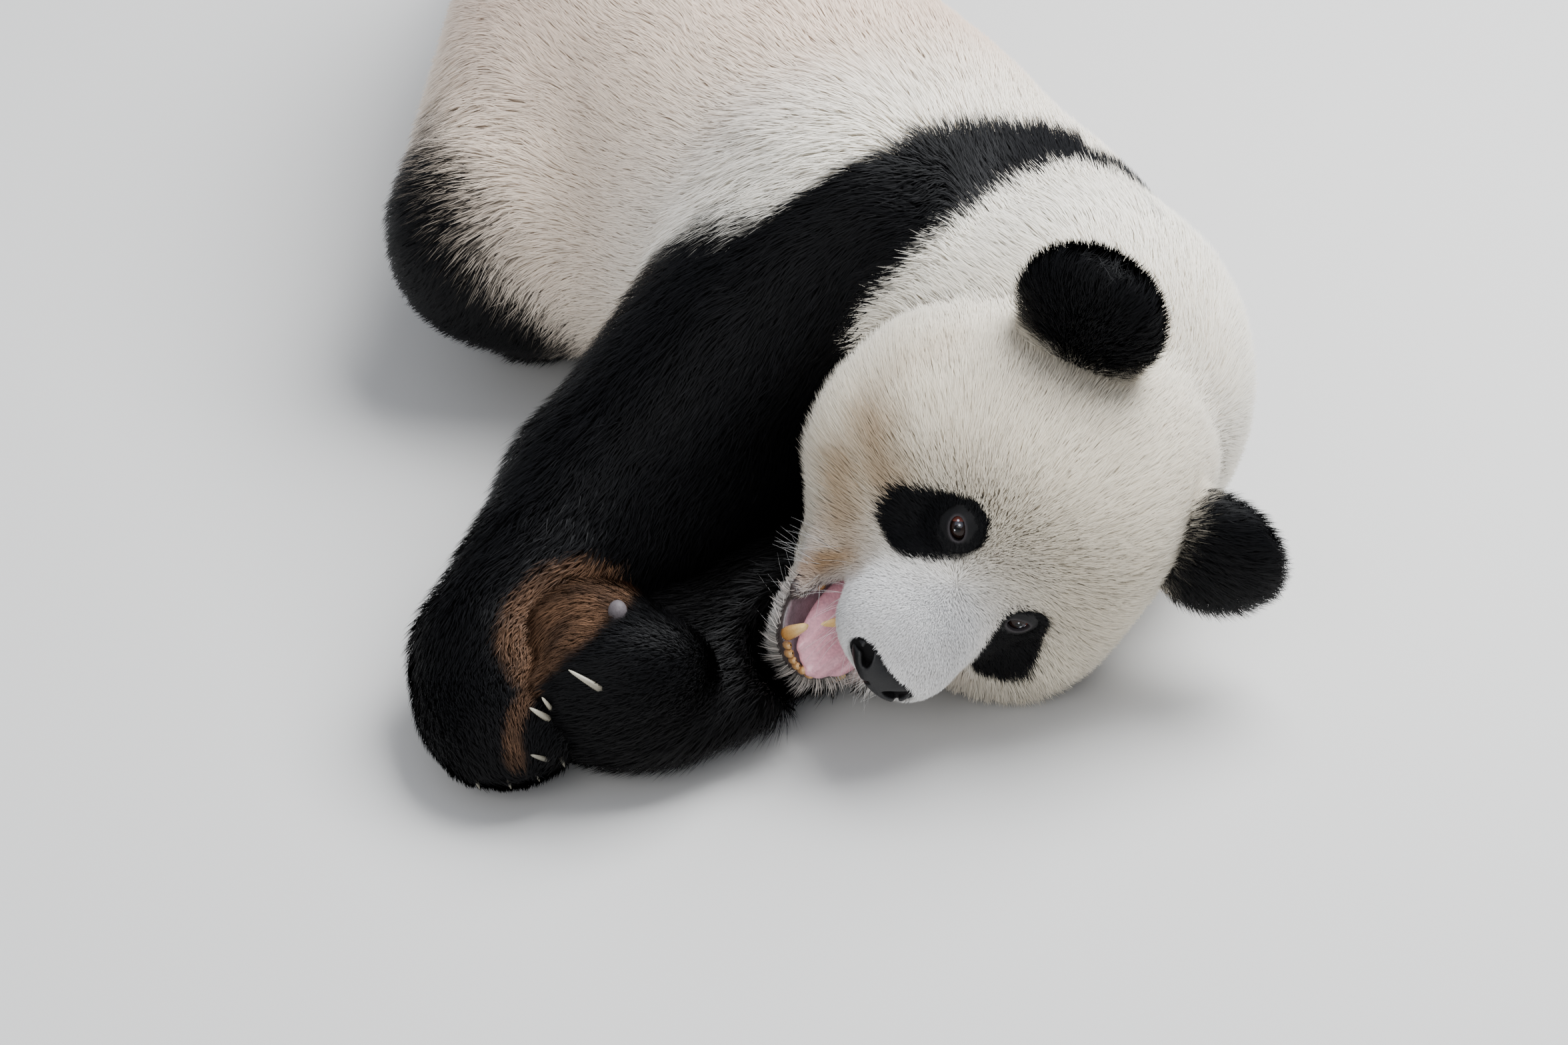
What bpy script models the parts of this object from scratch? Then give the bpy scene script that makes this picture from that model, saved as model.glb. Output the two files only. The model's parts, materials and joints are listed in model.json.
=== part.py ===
# Giant panda lying on its left side, head turned to face forward, mouth open: a life-size still model.
# Metres, +Z up.  The body lies along Y with the head at the low-Y end and the rump at the high-Y end.
import bpy
import bmesh
import numpy as np
from mathutils import Vector

for ob in list(bpy.data.objects):
    bpy.data.objects.remove(ob, do_unlink=True)

# ---------------------------------------------------------------- named sizes
GAP = 0.0006                    # clear space between neighbouring pieces
HEAD_C = np.array([0.028, 0.026, 0.170])                 # middle of the head over the floor
HEAD_R = np.array([[0.5159, 0.3949, 0.7602],             # columns: the panda's left, back and up
                   [-0.1053, 0.9099, -0.4012],
                   [-0.8502, 0.1269, 0.5110]])
CELL_TRUNK, CELL_HEAD, CELL_JAW = 0.078, 0.0405, 0.0320
CELL_EAR, CELL_LIMB, CELL_PAW = 0.0270, 0.058, 0.0315

# right and left limbs: (x, y, z, radius) from the body out to the last joint
ARM_RIGHT = [(-0.130, 0.260, 0.285, 0.130), (-0.342, 0.082, 0.120, 0.092), (-0.436, -0.070, 0.076, 0.072)]
ARM_LEFT = [(-0.030, 0.190, 0.118, 0.114), (-0.160, 0.010, 0.110, 0.110), (-0.300, -0.102, 0.110, 0.104)]
ARM_LEFT_FLAT = 0.46            # the left arm is pressed against the floor: its height beside its width
LEG_RIGHT = [(-0.262, 0.880, 0.245, 0.155), (-0.438, 0.462, 0.150, 0.108), (-0.398, 0.840, 0.142, 0.078), (-0.385, 1.010, 0.136, 0.066)]
LEG_LEFT = [(-0.300, 0.860, 0.120, 0.110), (-0.410, 0.500, 0.074, 0.080), (-0.385, 0.900, 0.064, 0.070), (-0.370, 1.050, 0.060, 0.062)]

# paws: wrist or ankle, direction of the toes, outward side of the back of the paw, size, row of claws
PAWS = {
    "forepaw_right": dict(root=(-0.440, -0.092, 0.066), along=(0.32, -0.94, -0.10), back=(-0.22, -0.12, 0.96), r=(0.096, 0.080, 0.060), reach=0.068, claw=0.036),
    "forepaw_left": dict(root=(-0.286, -0.138, 0.088), along=(-0.96, -0.28, 0.02), back=(0.10, -0.90, -0.35), r=(0.084, 0.078, 0.060), reach=0.052, claw=0.036),
    "hindpaw_right": dict(root=(-0.386, 1.035, 0.134), along=(-0.25, 0.95, -0.16), back=(-0.85, -0.30, 0.45), r=(0.105, 0.058, 0.062), reach=0.070, claw=0.030),
    "hindpaw_left": dict(root=(-0.366, 1.085, 0.058), along=(-0.20, 0.97, -0.03), back=(-0.85, -0.25, 0.48), r=(0.105, 0.058, 0.060), reach=0.070, claw=0.030),
}

EYES = {"right": (-0.0590, -0.1270, 0.0220), "left": (0.0497, -0.1305, 0.0238)}   # in head directions
EYE_R = 0.0125
NOSE = (0.002, -0.2135, -0.0620)
NOSE_SIZE = (0.0365, 0.0215, 0.0205)

# planes that part the black shoulder band from the neck and from the trunk: point, direction to the head
NECK_CUT = ((-0.020, 0.186, 0.350), (0.727, -0.686, 0.0))
TRUNK_CUT = ((-0.171, 0.199, 0.349), (0.477, -0.768, -0.428))

# ---------------------------------------------------------------- colours
def material(name, colour, rough, metal=0.0):
    m = bpy.data.materials.new(name)
    m.use_nodes = True
    b = m.node_tree.nodes["Principled BSDF"]
    b.inputs["Base Color"].default_value = (*colour, 1.0)
    b.inputs["Roughness"].default_value = rough
    b.inputs["Metallic"].default_value = metal
    m.diffuse_color = (*colour, 1.0)
    return m


FUR_WHITE = material("fur_white", (0.80, 0.76, 0.69), 0.85)
FUR_BLACK = material("fur_black", (0.014, 0.014, 0.016), 0.80)
NOSE_BLACK = material("nose_black", (0.020, 0.019, 0.020), 0.38)
EYE_DARK = material("eye_dark", (0.030, 0.018, 0.012), 0.08)
TONGUE_PINK = material("tongue_pink", (0.72, 0.33, 0.34), 0.30)

collection = bpy.data.collections.new("giant_panda")
bpy.context.scene.collection.children.link(collection)


# ---------------------------------------------------------------- smooth solids as distance functions
def unit(a):
    a = np.array(a, float)
    return a / np.linalg.norm(a)


def turned(along, up=(0, 0, 1)):
    a = unit(along)
    u = np.array(up, float)
    u = unit(u - a * (u @ a))
    return np.stack([a, np.cross(u, a), u], 1)


def ball(p, c, r, turn=None):
    q = p - np.asarray(c, float)
    if turn is not None:
        q = q @ turn
    r = np.asarray(r, float)
    k0 = np.sqrt(((q / r) ** 2).sum(1)) + 1e-9
    k1 = np.sqrt(((q / (r * r)) ** 2).sum(1)) + 1e-9
    return k0 * (k0 - 1.0) / k1


def cone(p, a, b, ra, rb):
    a, b = np.asarray(a, float), np.asarray(b, float)
    d = b - a
    t = np.clip(((p - a) @ d) / (d @ d), 0, 1)
    return np.sqrt((((p - a) - t[:, None] * d) ** 2).sum(1)) - (ra + t * (rb - ra))


def join(a, b, k):
    h = np.maximum(k - np.abs(a - b), 0) / k
    return np.minimum(a, b) - h * h * k * 0.25


def carve(a, b, k):
    """a without b, with a rounded edge."""
    return -join(-a, b, k)


def to_head(p):
    return (p - HEAD_C) @ HEAD_R


def from_head(q):
    return np.asarray(q, float) @ HEAD_R.T + HEAD_C


def head_shape(q):
    m = q.copy()
    m[:, 0] = np.abs(m[:, 0])
    d = ball(q, (0, 0.030, 0.030), (0.142, 0.135, 0.122))                        # skull
    d = join(d, ball(m, (0.084, -0.008, -0.030), (0.102, 0.120, 0.106)), 0.05)   # cheeks
    d = join(d, ball(m, (0.082, -0.050, -0.080), (0.074, 0.078, 0.066)), 0.05)   # jowls
    d = join(d, ball(q, (0, -0.045, 0.055), (0.108, 0.090, 0.085)), 0.05)        # brow
    d = join(d, cone(q, (0, -0.070, -0.030), (0, -0.178, -0.052), 0.080, 0.055), 0.045)   # muzzle
    return join(d, ball(m, (0.028, -0.176, -0.062), (0.037, 0.046, 0.038)), 0.02)         # upper lips


def jaw_shape(q):
    d = cone(q, (-0.058, -0.062, -0.104), (-0.0115, -0.173, -0.145), 0.058, 0.0385)
    d = join(d, cone(q, (0.048, -0.062, -0.104), (-0.0095, -0.173, -0.145), 0.058, 0.0385), 0.03)
    return join(d, ball(q, (0, 0.02, -0.10), (0.085, 0.09, 0.06)), 0.03)


def ear_shape(q, side):
    turn = turned((side * 0.72, 0.0, 0.69), (side * 0.35, -0.88, 0.30))
    return ball(q, (-0.131, 0.037, 0.131) if side < 0 else (0.124, 0.033, 0.120), (0.063, 0.060, 0.032), turn)


def torso(p):
    d = ball(p, (-0.120, 0.370, 0.205), (0.24, 0.208, 0.213), turned((-0.44, 0.90, 0)))           # chest
    d = join(d, ball(p, (-0.256, 0.640, 0.208), (0.37, 0.222, 0.216), turned((-0.22, 0.97, 0))), 0.10)
    d = join(d, ball(p, (-0.285, 0.580, 0.153), (0.25, 0.188, 0.158), turned((-0.10, 0.97, 0))), 0.06)   # belly
    d = join(d, ball(p, (-0.262, 0.940, 0.200), (0.186, 0.25, 0.206)), 0.11)                      # rump
    n = ball(p, (0.072, 0.160, 0.188), (0.155, 0.158, 0.183), turned((-0.40, 0.92, 0)))           # nape
    n = join(n, cone(p, (0.02, 0.10, 0.17), (-0.06, 0.30, 0.20), 0.13, 0.17), 0.05)
    d = join(d, n, 0.06)
    d = join(d, ball(p, (0.045, 0.275, 0.225), (0.115, 0.125, 0.115)), 0.06)                       # withers
    return join(d, cone(p, ARM_RIGHT[0][:3], (-0.215, 0.190, 0.220), 0.112, 0.070), 0.06)         # shoulder


def limb(p, joints):
    d = None
    for a, b in zip(joints[:-1], joints[1:]):
        e = cone(p, a[:3], b[:3], a[3], b[3])
        d = e if d is None else join(d, e, 0.025)
    return d


def arm_right_shape(p):
    """The upper arm's loose underside fills the space over the left arm."""
    return join(limb(p, ARM_RIGHT), cone(p, (-0.150, 0.200, 0.165), (-0.335, 0.040, 0.078), 0.085, 0.070), 0.03)


def arm_left_shape(p):
    """Lower than it is wide, with a dent where the chin lies on it."""
    d = limb(p / np.array([1.0, 1.0, ARM_LEFT_FLAT]), ARM_LEFT) * (0.45 + 0.55 * ARM_LEFT_FLAT)
    q = to_head(p)
    chin = jaw_shape(q)
    for step in (0.014, 0.028, 0.042, 0.056):
        chin = np.minimum(chin, jaw_shape(q + step * np.array([0.415, 0.661, -0.625])))
    return carve(d, chin - 0.004, 0.014)


def paw_frame(paw):
    a = unit(paw["along"])
    n = np.array(paw["back"], float)
    n = unit(n - a * (n @ a))
    return a, np.cross(n, a), n


def paw_shape(p, paw):
    a, w, n = paw_frame(paw)
    root = np.array(paw["root"], float)
    turn = np.stack([a, w, n], 1)
    d = ball(p, root + a * paw["r"][0] * 0.45, paw["r"], turn)
    for i in range(-2, 3):
        spot = root + a * (paw["reach"] + 0.030 - 0.0045 * i * i) + w * 0.0245 * i - n * 0.004
        d = join(d, ball(p, spot, (0.034, 0.0175, 0.024), turn), 0.012)
    return d


# ---------------------------------------------------------------- from a distance function to a closed mesh
def closed_mesh(name, shape, low, high, cell, mat):
    for attempt in range(9):                     # another start of the grid where a corner of it pinches the mesh
        mesh = gridded(name, shape, np.array(low, float) - cell * 0.11 * attempt, high, cell)
        if sound(mesh):
            break
    return finished(name, mesh, mat)


def gridded(name, shape, low, high, cell, rounds=4):
    n = [int(np.ceil((high[i] - low[i]) / cell)) + 1 for i in range(3)]
    axes = [low[i] + cell * np.arange(n[i]) for i in range(3)]
    grid = np.stack(np.meshgrid(*axes, indexing="ij"), -1).reshape(-1, 3)
    v = shape(grid).reshape(n)
    inside = v < 0
    corners = [(i, j, k) for i in (0, 1) for j in (0, 1) for k in (0, 1)]
    pairs = [(a, b) for a in corners for b in corners if a < b and sum(abs(a[i] - b[i]) for i in range(3)) == 1]

    def at(o):
        return v[o[0]:n[0] - 1 + o[0], o[1]:n[1] - 1 + o[1], o[2]:n[2] - 1 + o[2]]

    total = np.zeros((n[0] - 1, n[1] - 1, n[2] - 1, 3))
    count = np.zeros((n[0] - 1, n[1] - 1, n[2] - 1))
    for a, b in pairs:
        va, vb = at(a), at(b)
        crossed = (va < 0) != (vb < 0)
        t = np.where(crossed, va / (va - vb + 1e-30), 0)
        for k in range(3):
            total[..., k] += np.where(crossed, a[k] + t * (b[k] - a[k]), 0)
        count += crossed
    used = count > 0
    index = -np.ones(used.shape, int)
    index[used] = np.arange(used.sum())
    points = (np.argwhere(used) + total[used] / count[used][:, None]) * cell + low
    quads = []
    for axis in range(3):
        s0 = [slice(1, k - 1) for k in n]
        s1 = list(s0)
        s0[axis], s1[axis] = slice(0, n[axis] - 1), slice(1, n[axis])
        a, b = inside[tuple(s0)], inside[tuple(s1)]
        step = np.array([1, 1, 1])
        step[axis] = 0
        m = np.argwhere(a != b) + step
        flip = a[a != b]
        if axis == 1:
            flip = ~flip
        u, w = [k for k in range(3) if k != axis]
        ring = []
        for du, dw in ((1, 1), (0, 1), (0, 0), (1, 0)):
            q = m.copy()
            q[:, u] -= du
            q[:, w] -= dw
            ring.append(index[q[:, 0], q[:, 1], q[:, 2]])
        quad = np.stack(ring, 1)
        quad[~flip] = quad[~flip][:, ::-1]
        quads.append(quad)
    for _ in range(rounds):                      # settle each corner on the surface itself
        f0 = shape(points)
        g = np.stack([shape(points + np.eye(3)[k] * 1e-4) - f0 for k in range(3)], 1) / 1e-4
        move = -(f0 / ((g * g).sum(1) + 1e-9))[:, None] * g
        size = np.linalg.norm(move, axis=1) + 1e-12
        points = points + move * np.minimum(1, 0.35 * cell / size)[:, None]
    mesh = bpy.data.meshes.new(name)
    mesh.from_pydata(points.tolist(), [], np.concatenate(quads).tolist())
    bm = bmesh.new()
    bm.from_mesh(mesh)
    bmesh.ops.triangulate(bm, faces=bm.faces[:])
    bm.to_mesh(mesh)
    bm.free()
    return mesh


def finished(name, mesh, mat):
    mesh.materials.clear()
    mesh.materials.append(mat)
    ob = bpy.data.objects.new(name, mesh)
    collection.objects.link(ob)
    return ob


def cut(ob, point, direction, steady=False):
    """Keep what lies on the side the direction points to, and close the cut."""
    start = ob.data.copy()
    d = Vector(direction).normalized()
    for attempt in range(8):
        bm = bmesh.new()
        bm.from_mesh(start)
        bmesh.ops.triangulate(bm, faces=bm.faces[:])
        where = Vector(point) + d * (0.0 if steady else 0.00007 * attempt)
        bmesh.ops.bisect_plane(bm, geom=bm.verts[:] + bm.edges[:] + bm.faces[:], dist=0.00001 * (1 + attempt), plane_co=where, plane_no=d, clear_inner=True)
        rim = [e for e in bm.edges if e.is_boundary]
        if rim:
            if attempt % 2 == 0:
                bmesh.ops.triangle_fill(bm, use_beauty=True, use_dissolve=False, edges=rim, normal=-d)
            else:
                bmesh.ops.holes_fill(bm, edges=rim, sides=0)
        bmesh.ops.recalc_face_normals(bm, faces=bm.faces[:])
        bm.to_mesh(ob.data)
        bm.free()
        largest_only(ob)
        if sound(ob.data):
            break
    else:
        print("cut of", ob.name, "is not closed")


def floor_cut(ob):
    cut(ob, (0, 0, 0), (0, 0, 1), True)


def grown(ob, by):
    mesh = ob.data.copy()
    bm = bmesh.new()
    bm.from_mesh(mesh)
    bm.normal_update()
    moves = [v.normal.copy() * (by * v.calc_shell_factor()) for v in bm.verts]
    for v, m in zip(bm.verts, moves):
        v.co += m
    bm.to_mesh(mesh)
    bm.free()
    other = bpy.data.objects.new("cutter", mesh)
    collection.objects.link(other)
    return other


def largest_only(ob):
    bm = bmesh.new()
    bm.from_mesh(ob.data)
    bmesh.ops.triangulate(bm, faces=bm.faces[:])
    left = set(bm.verts)
    groups = []
    while left:
        seed = left.pop()
        group, todo = [seed], [seed]
        while todo:
            v = todo.pop()
            for e in v.link_edges:
                o = e.other_vert(v)
                if o in left:
                    left.discard(o)
                    group.append(o)
                    todo.append(o)
        groups.append(group)

    def size_of(group):
        inside = set(group)
        faces = {f for v in group for f in v.link_faces}
        return abs(sum(f.verts[0].co.dot(f.verts[1].co.cross(f.verts[2].co)) for f in faces if f.verts[0] in inside))

    groups.sort(key=size_of, reverse=True)
    for g in groups[1:]:
        bmesh.ops.delete(bm, geom=g, context="VERTS")
    bm.to_mesh(ob.data)
    bm.free()


def sound(mesh):
    bm = bmesh.new()
    bm.from_mesh(mesh)
    bmesh.ops.triangulate(bm, faces=bm.faces[:])
    bmesh.ops.remove_doubles(bm, verts=bm.verts[:], dist=0.000004)
    good = len(bm.faces) > 3 and all(e.is_manifold for e in bm.edges) and bm.calc_volume(signed=True) > 0
    bm.free()
    return good


def volume(mesh):
    bm = bmesh.new()
    bm.from_mesh(mesh)
    v = bm.calc_volume()
    bm.free()
    return v


def boolean(ob, other, kind):
    """EXACT; the MANIFOLD solver only where EXACT leaves a mesh that is not closed."""
    mat = ob.data.materials[0]
    for solver in ("EXACT", "MANIFOLD"):
        mod = ob.modifiers.new("cut", "BOOLEAN")
        mod.operation = kind
        mod.solver = solver
        mod.object = other
        graph = bpy.context.evaluated_depsgraph_get()
        graph.update()
        mesh = bpy.data.meshes.new_from_object(ob.evaluated_get(graph))
        ob.modifiers.clear()
        least = volume(ob.data) - (1.05 * volume(other.data) if kind == "DIFFERENCE" else 0)
        if sound(mesh) and volume(mesh) > least * 0.999:
            break
    ob.data = mesh
    mesh.materials.clear()
    mesh.materials.append(mat)
    for f in mesh.polygons:
        f.material_index = 0


def take_away(ob, others, by=GAP):
    for other in others:
        start = ob.data.copy()
        start.materials.clear()
        start.materials.append(ob.data.materials[0])
        least = volume(start) - 1.10 * volume(other.data)
        for attempt in range(8):
            ob.data = start.copy()
            cutter = grown(other, by * (1 + 0.17 * attempt))
            boolean(ob, cutter, "DIFFERENCE")
            bpy.data.objects.remove(cutter, do_unlink=True)
            largest_only(ob)
            if sound(ob.data) and volume(ob.data) > least * 0.99:
                break
        else:
            print("cut of", ob.name, "by", other.name, "is not closed")


def copy_of(ob, name, mat):
    return finished(name, ob.data.copy(), mat)


def split(ob, name, mat, point, direction):
    """Part one piece in two by a thin plane cut; the new piece is the one the direction points to."""
    d = unit(direction)
    other = copy_of(ob, name, mat)
    cut(other, np.array(point) + d * GAP / 2, d)
    cut(ob, np.array(point) - d * GAP / 2, -d)
    largest_only(other)
    largest_only(ob)
    return other


def rod(name, centres, radii, sides, mat, flat=1.0, up=None):
    """A tapering bent rod with closed ends; used for claws and teeth."""
    bm = bmesh.new()
    rings = []
    centres = [np.array(c, float) for c in centres]
    for i, (c, r) in enumerate(zip(centres, radii)):
        t = unit(centres[min(i + 1, len(centres) - 1)] - centres[max(i - 1, 0)])
        u = np.array(up if up is not None else (0.3, 0.2, 0.9), float)
        u = unit(u - t * (u @ t))
        w = np.cross(t, u)
        rings.append([bm.verts.new(c + r * (np.cos(x) * u + flat * np.sin(x) * w)) for x in np.arange(sides) / sides * 2 * np.pi])
    for a, b in zip(rings[:-1], rings[1:]):
        for k in range(sides):
            bm.faces.new((a[k], a[(k + 1) % sides], b[(k + 1) % sides], b[k]))
    bm.faces.new(rings[0][::-1])
    bm.faces.new(rings[-1])
    bmesh.ops.recalc_face_normals(bm, faces=bm.faces[:])
    mesh = bpy.data.meshes.new(name)
    bm.to_mesh(mesh)
    bm.free()
    return finished(name, mesh, mat)


def grow_on(ob, pieces):
    for piece in pieces:
        boolean(ob, piece, "UNION")
        bpy.data.objects.remove(piece, do_unlink=True)
    largest_only(ob)


# ---------------------------------------------------------------- the pieces
lo_head, hi_head = HEAD_C - 0.30, HEAD_C + 0.30


def in_head(fn):
    return lambda p: fn(to_head(p))


eyes = []
for side, label in ((-1, "right"), (1, "left")):
    c = from_head(EYES[label])
    mesh = bpy.data.meshes.new("eye_" + label)
    bm = bmesh.new()
    bmesh.ops.create_uvsphere(bm, u_segments=8, v_segments=6, radius=EYE_R)
    bmesh.ops.translate(bm, verts=bm.verts[:], vec=Vector(c))
    bm.to_mesh(mesh)
    bm.free()
    eyes.append(finished("eye_" + label, mesh, EYE_DARK))

nose = closed_mesh("nose", in_head(lambda q: ball(q, NOSE, NOSE_SIZE)), lo_head, hi_head, 0.0140, NOSE_BLACK)
tongue = closed_mesh("tongue", in_head(lambda q: ball(q, (-0.004, -0.138, -0.118), (0.062, 0.036, 0.0135), turned((0, -1, -0.42)))), lo_head, hi_head, 0.0155, TONGUE_PINK)

# whole shapes, used as they are and as cutters for what lies against them
head_full = closed_mesh("head_full", in_head(head_shape), lo_head, hi_head, CELL_HEAD, FUR_WHITE)
jaw_full = closed_mesh("jaw_full", in_head(jaw_shape), lo_head, hi_head, CELL_JAW, FUR_WHITE)
torso_full = closed_mesh("torso_full", torso, (-0.70, -0.34, -0.09), (0.34, 1.34, 0.56), CELL_TRUNK, FUR_WHITE)
ears_full = [closed_mesh("ear_full", in_head(lambda q, s=side: ear_shape(q, s)), lo_head, hi_head, CELL_EAR, FUR_BLACK) for side in (-1, 1)]
limbs_full = {}
for name, joints in (("arm_right", ARM_RIGHT), ("arm_left", ARM_LEFT), ("leg_right", LEG_RIGHT), ("leg_left", LEG_LEFT)):
    lo = np.min([np.array(j[:3]) - j[3] for j in joints], 0) - 0.06
    hi = np.max([np.array(j[:3]) + j[3] for j in joints], 0) + 0.06
    shape = {"arm_left": arm_left_shape, "arm_right": arm_right_shape}.get(name, lambda p: limb(p, joints))
    limbs_full[name] = closed_mesh(name + "_full", shape, lo, hi, CELL_LIMB, FUR_BLACK)
paws_full = {}
for name, paw in PAWS.items():
    root = np.array(paw["root"], float)
    paws_full[name] = closed_mesh(name + "_full", lambda p: paw_shape(p, paw), root - 0.25, root + 0.25, CELL_PAW, FUR_BLACK)

# lower jaw with the tongue and the lower teeth
jaw = copy_of(jaw_full, "lower_jaw", FUR_WHITE)
cut(jaw, from_head((0, 0.020, 0)), -HEAD_R[:, 1])
cut(jaw, from_head((0, -0.125, -0.107)), HEAD_R[:, 1] * 0.50 - HEAD_R[:, 2])
teeth = []
for base, tip in (((-0.0340, -0.1840, -0.141), (-0.0415, -0.1925, -0.117)), ((0.0130, -0.1810, -0.141), (0.0195, -0.1890, -0.119))):
    base, tip = from_head(base), from_head(tip)
    mid = (base + tip) / 2 - HEAD_R[:, 1] * 0.002
    teeth.append(rod("tooth", [base, mid, tip], [0.0075, 0.0065, 0.0022], 6, FUR_WHITE))
for k in range(4):
    x = -0.0240 + 0.0090 * k
    base, tip = from_head((x, -0.1860, -0.144)), from_head((x, -0.1980, -0.134))
    teeth.append(rod("tooth", [base, tip], [0.0038, 0.0030], 5, FUR_WHITE))
eye_teeth = [copy_of(t, "eye_tooth_cutter", FUR_WHITE) for t in teeth[:2]]
grow_on(jaw, teeth)
take_away(jaw, [tongue])

head = copy_of(head_full, "head", FUR_WHITE)
take_away(head, eyes + [nose, tongue])
take_away(head, [jaw_full], 0.0015)
floor_cut(head)

for side, label, whole in ((-1, "right", ears_full[0]), (1, "left", ears_full[1])):
    ear = copy_of(whole, "ear_" + label, FUR_BLACK)
    take_away(ear, [head_full])

# the body: trunk, shoulder band and neck, parted by planes
trunk = copy_of(torso_full, "trunk", FUR_WHITE)
floor_cut(trunk)
shoulders = split(trunk, "shoulders", FUR_BLACK, *TRUNK_CUT)
cut(trunk, np.array(NECK_CUT[0]) - unit(NECK_CUT[1]) * GAP, -unit(NECK_CUT[1]))
neck = split(shoulders, "neck", FUR_WHITE, *NECK_CUT)
take_away(neck, [head_full, jaw_full] + ears_full)
take_away(shoulders, [head_full, jaw_full])

tail = closed_mesh("tail", lambda p: ball(p, (-0.215, 1.165, 0.150), (0.075, 0.042, 0.036), turned((0.35, 1, -0.45))), (-0.4, 1.0, 0.0), (0.0, 1.3, 0.3), 0.021, FUR_WHITE)
take_away(tail, [torso_full])

# limbs: parted across the joints, each yielding to what it lies against
core = [torso_full, head_full, jaw_full]


def finish_paw(name, point, direction, around, beside=None):
    paw = PAWS[name]
    ob = copy_of(paws_full[name], name, FUR_BLACK)
    take_away(ob, around)
    cut(ob, np.array(point) + unit(direction) * GAP / 2, unit(direction))
    floor_cut(ob)
    largest_only(ob)
    a, w, n = paw_frame(paw)
    root = np.array(paw["root"], float)
    claws = []
    for i in range(-2, 3):
        start = root + a * (paw["reach"] + 0.045 - 0.0045 * i * i) + w * 0.0245 * i + n * 0.002
        path = [start + a * paw["claw"] * (0.1 + 0.8 * t) - n * paw["claw"] * 0.50 * t * t for t in (0.0, 0.35, 0.7, 1.0)]
        path = [np.array([c[0], c[1], max(c[2], 0.007)]) for c in path]
        if beside and paw_shape(np.array(path), PAWS[beside]).min() < 0.014:
            continue                                # this claw lies within the coat of the paw beside it
        claws.append(rod("claw", path, [0.0062, 0.0052, 0.0036, 0.0012], 4, FUR_BLACK, 0.75))
    cutters = [copy_of(c, "claw_cutter", FUR_BLACK) for c in claws]
    grow_on(ob, claws)
    spare.extend(cutters)
    return cutters


spare = []


def wrist(limb_joints, paw):
    """The plane that parts a paw from its limb: across the paw's own direction, at its root."""
    return np.array(PAWS[paw]["root"], float), unit(PAWS[paw]["along"])


w_point, w_dir = wrist(ARM_LEFT, "forepaw_left")
arm_left = copy_of(limbs_full["arm_left"], "arm_left", FUR_BLACK)
take_away(arm_left, core + eye_teeth)
cut(arm_left, w_point - w_dir * GAP / 2, -w_dir)
floor_cut(arm_left)
left_claws = finish_paw("forepaw_left", w_point, w_dir, core)

near = [limbs_full["arm_left"], paws_full["forepaw_left"]] + left_claws
w_point, w_dir = wrist(ARM_RIGHT, "forepaw_right")
upper = copy_of(limbs_full["arm_right"], "upper_arm_right", FUR_BLACK)
take_away(upper, core + near)
floor_cut(upper)
elbow = np.array(ARM_RIGHT[1][:3])
across = unit(unit(np.array(ARM_RIGHT[2][:3]) - elbow) + unit(elbow - np.array(ARM_RIGHT[0][:3])))
forearm = split(upper, "forearm_right", FUR_BLACK, elbow, across)
cut(forearm, w_point - w_dir * GAP / 2, -w_dir)
finish_paw("forepaw_right", w_point, w_dir, core + near, "forepaw_left")

w_point, w_dir = wrist(LEG_RIGHT, "hindpaw_right")
near = [limbs_full["arm_right"]]
thigh = copy_of(limbs_full["leg_right"], "thigh_right", FUR_BLACK)
take_away(thigh, [torso_full] + near)
floor_cut(thigh)
hip, knee, ankle = (np.array(LEG_RIGHT[k][:3]) for k in (0, 1, 2))
shank = split(thigh, "shank_right", FUR_BLACK, knee, unit(ankle - knee) - unit(hip - knee))
cut(shank, w_point - w_dir * GAP / 2, -w_dir)
hind_claws = finish_paw("hindpaw_right", w_point, w_dir, [torso_full])

w_point, w_dir = wrist(LEG_LEFT, "hindpaw_left")
near = [limbs_full["leg_right"], paws_full["hindpaw_right"], limbs_full["arm_right"]] + hind_claws
leg_left = copy_of(limbs_full["leg_left"], "leg_left", FUR_BLACK)
take_away(leg_left, [torso_full] + near)
cut(leg_left, w_point - w_dir * GAP / 2, -w_dir)
floor_cut(leg_left)
finish_paw("hindpaw_left", w_point, w_dir, [torso_full] + near)

for ob in [head_full, jaw_full, torso_full] + ears_full + list(limbs_full.values()) + list(paws_full.values()) + eye_teeth + spare:
    bpy.data.objects.remove(ob, do_unlink=True)

# ---------------------------------------------------------------- origin under the middle of the whole
pieces = [ob for ob in collection.objects]
pts = np.array([v.co[:] for ob in pieces for v in ob.data.vertices])
middle = (pts.min(0) + pts.max(0)) / 2
shift = Vector((-middle[0], -middle[1], -pts[:, 2].min()))
for ob in pieces:
    for v in ob.data.vertices:
        v.co += shift
    ob.data.update()
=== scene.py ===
"""Looks of the giant panda: one skin, its coat in small tufts, eyes, nose, mouth, claws and pads."""

import json
import math

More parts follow.
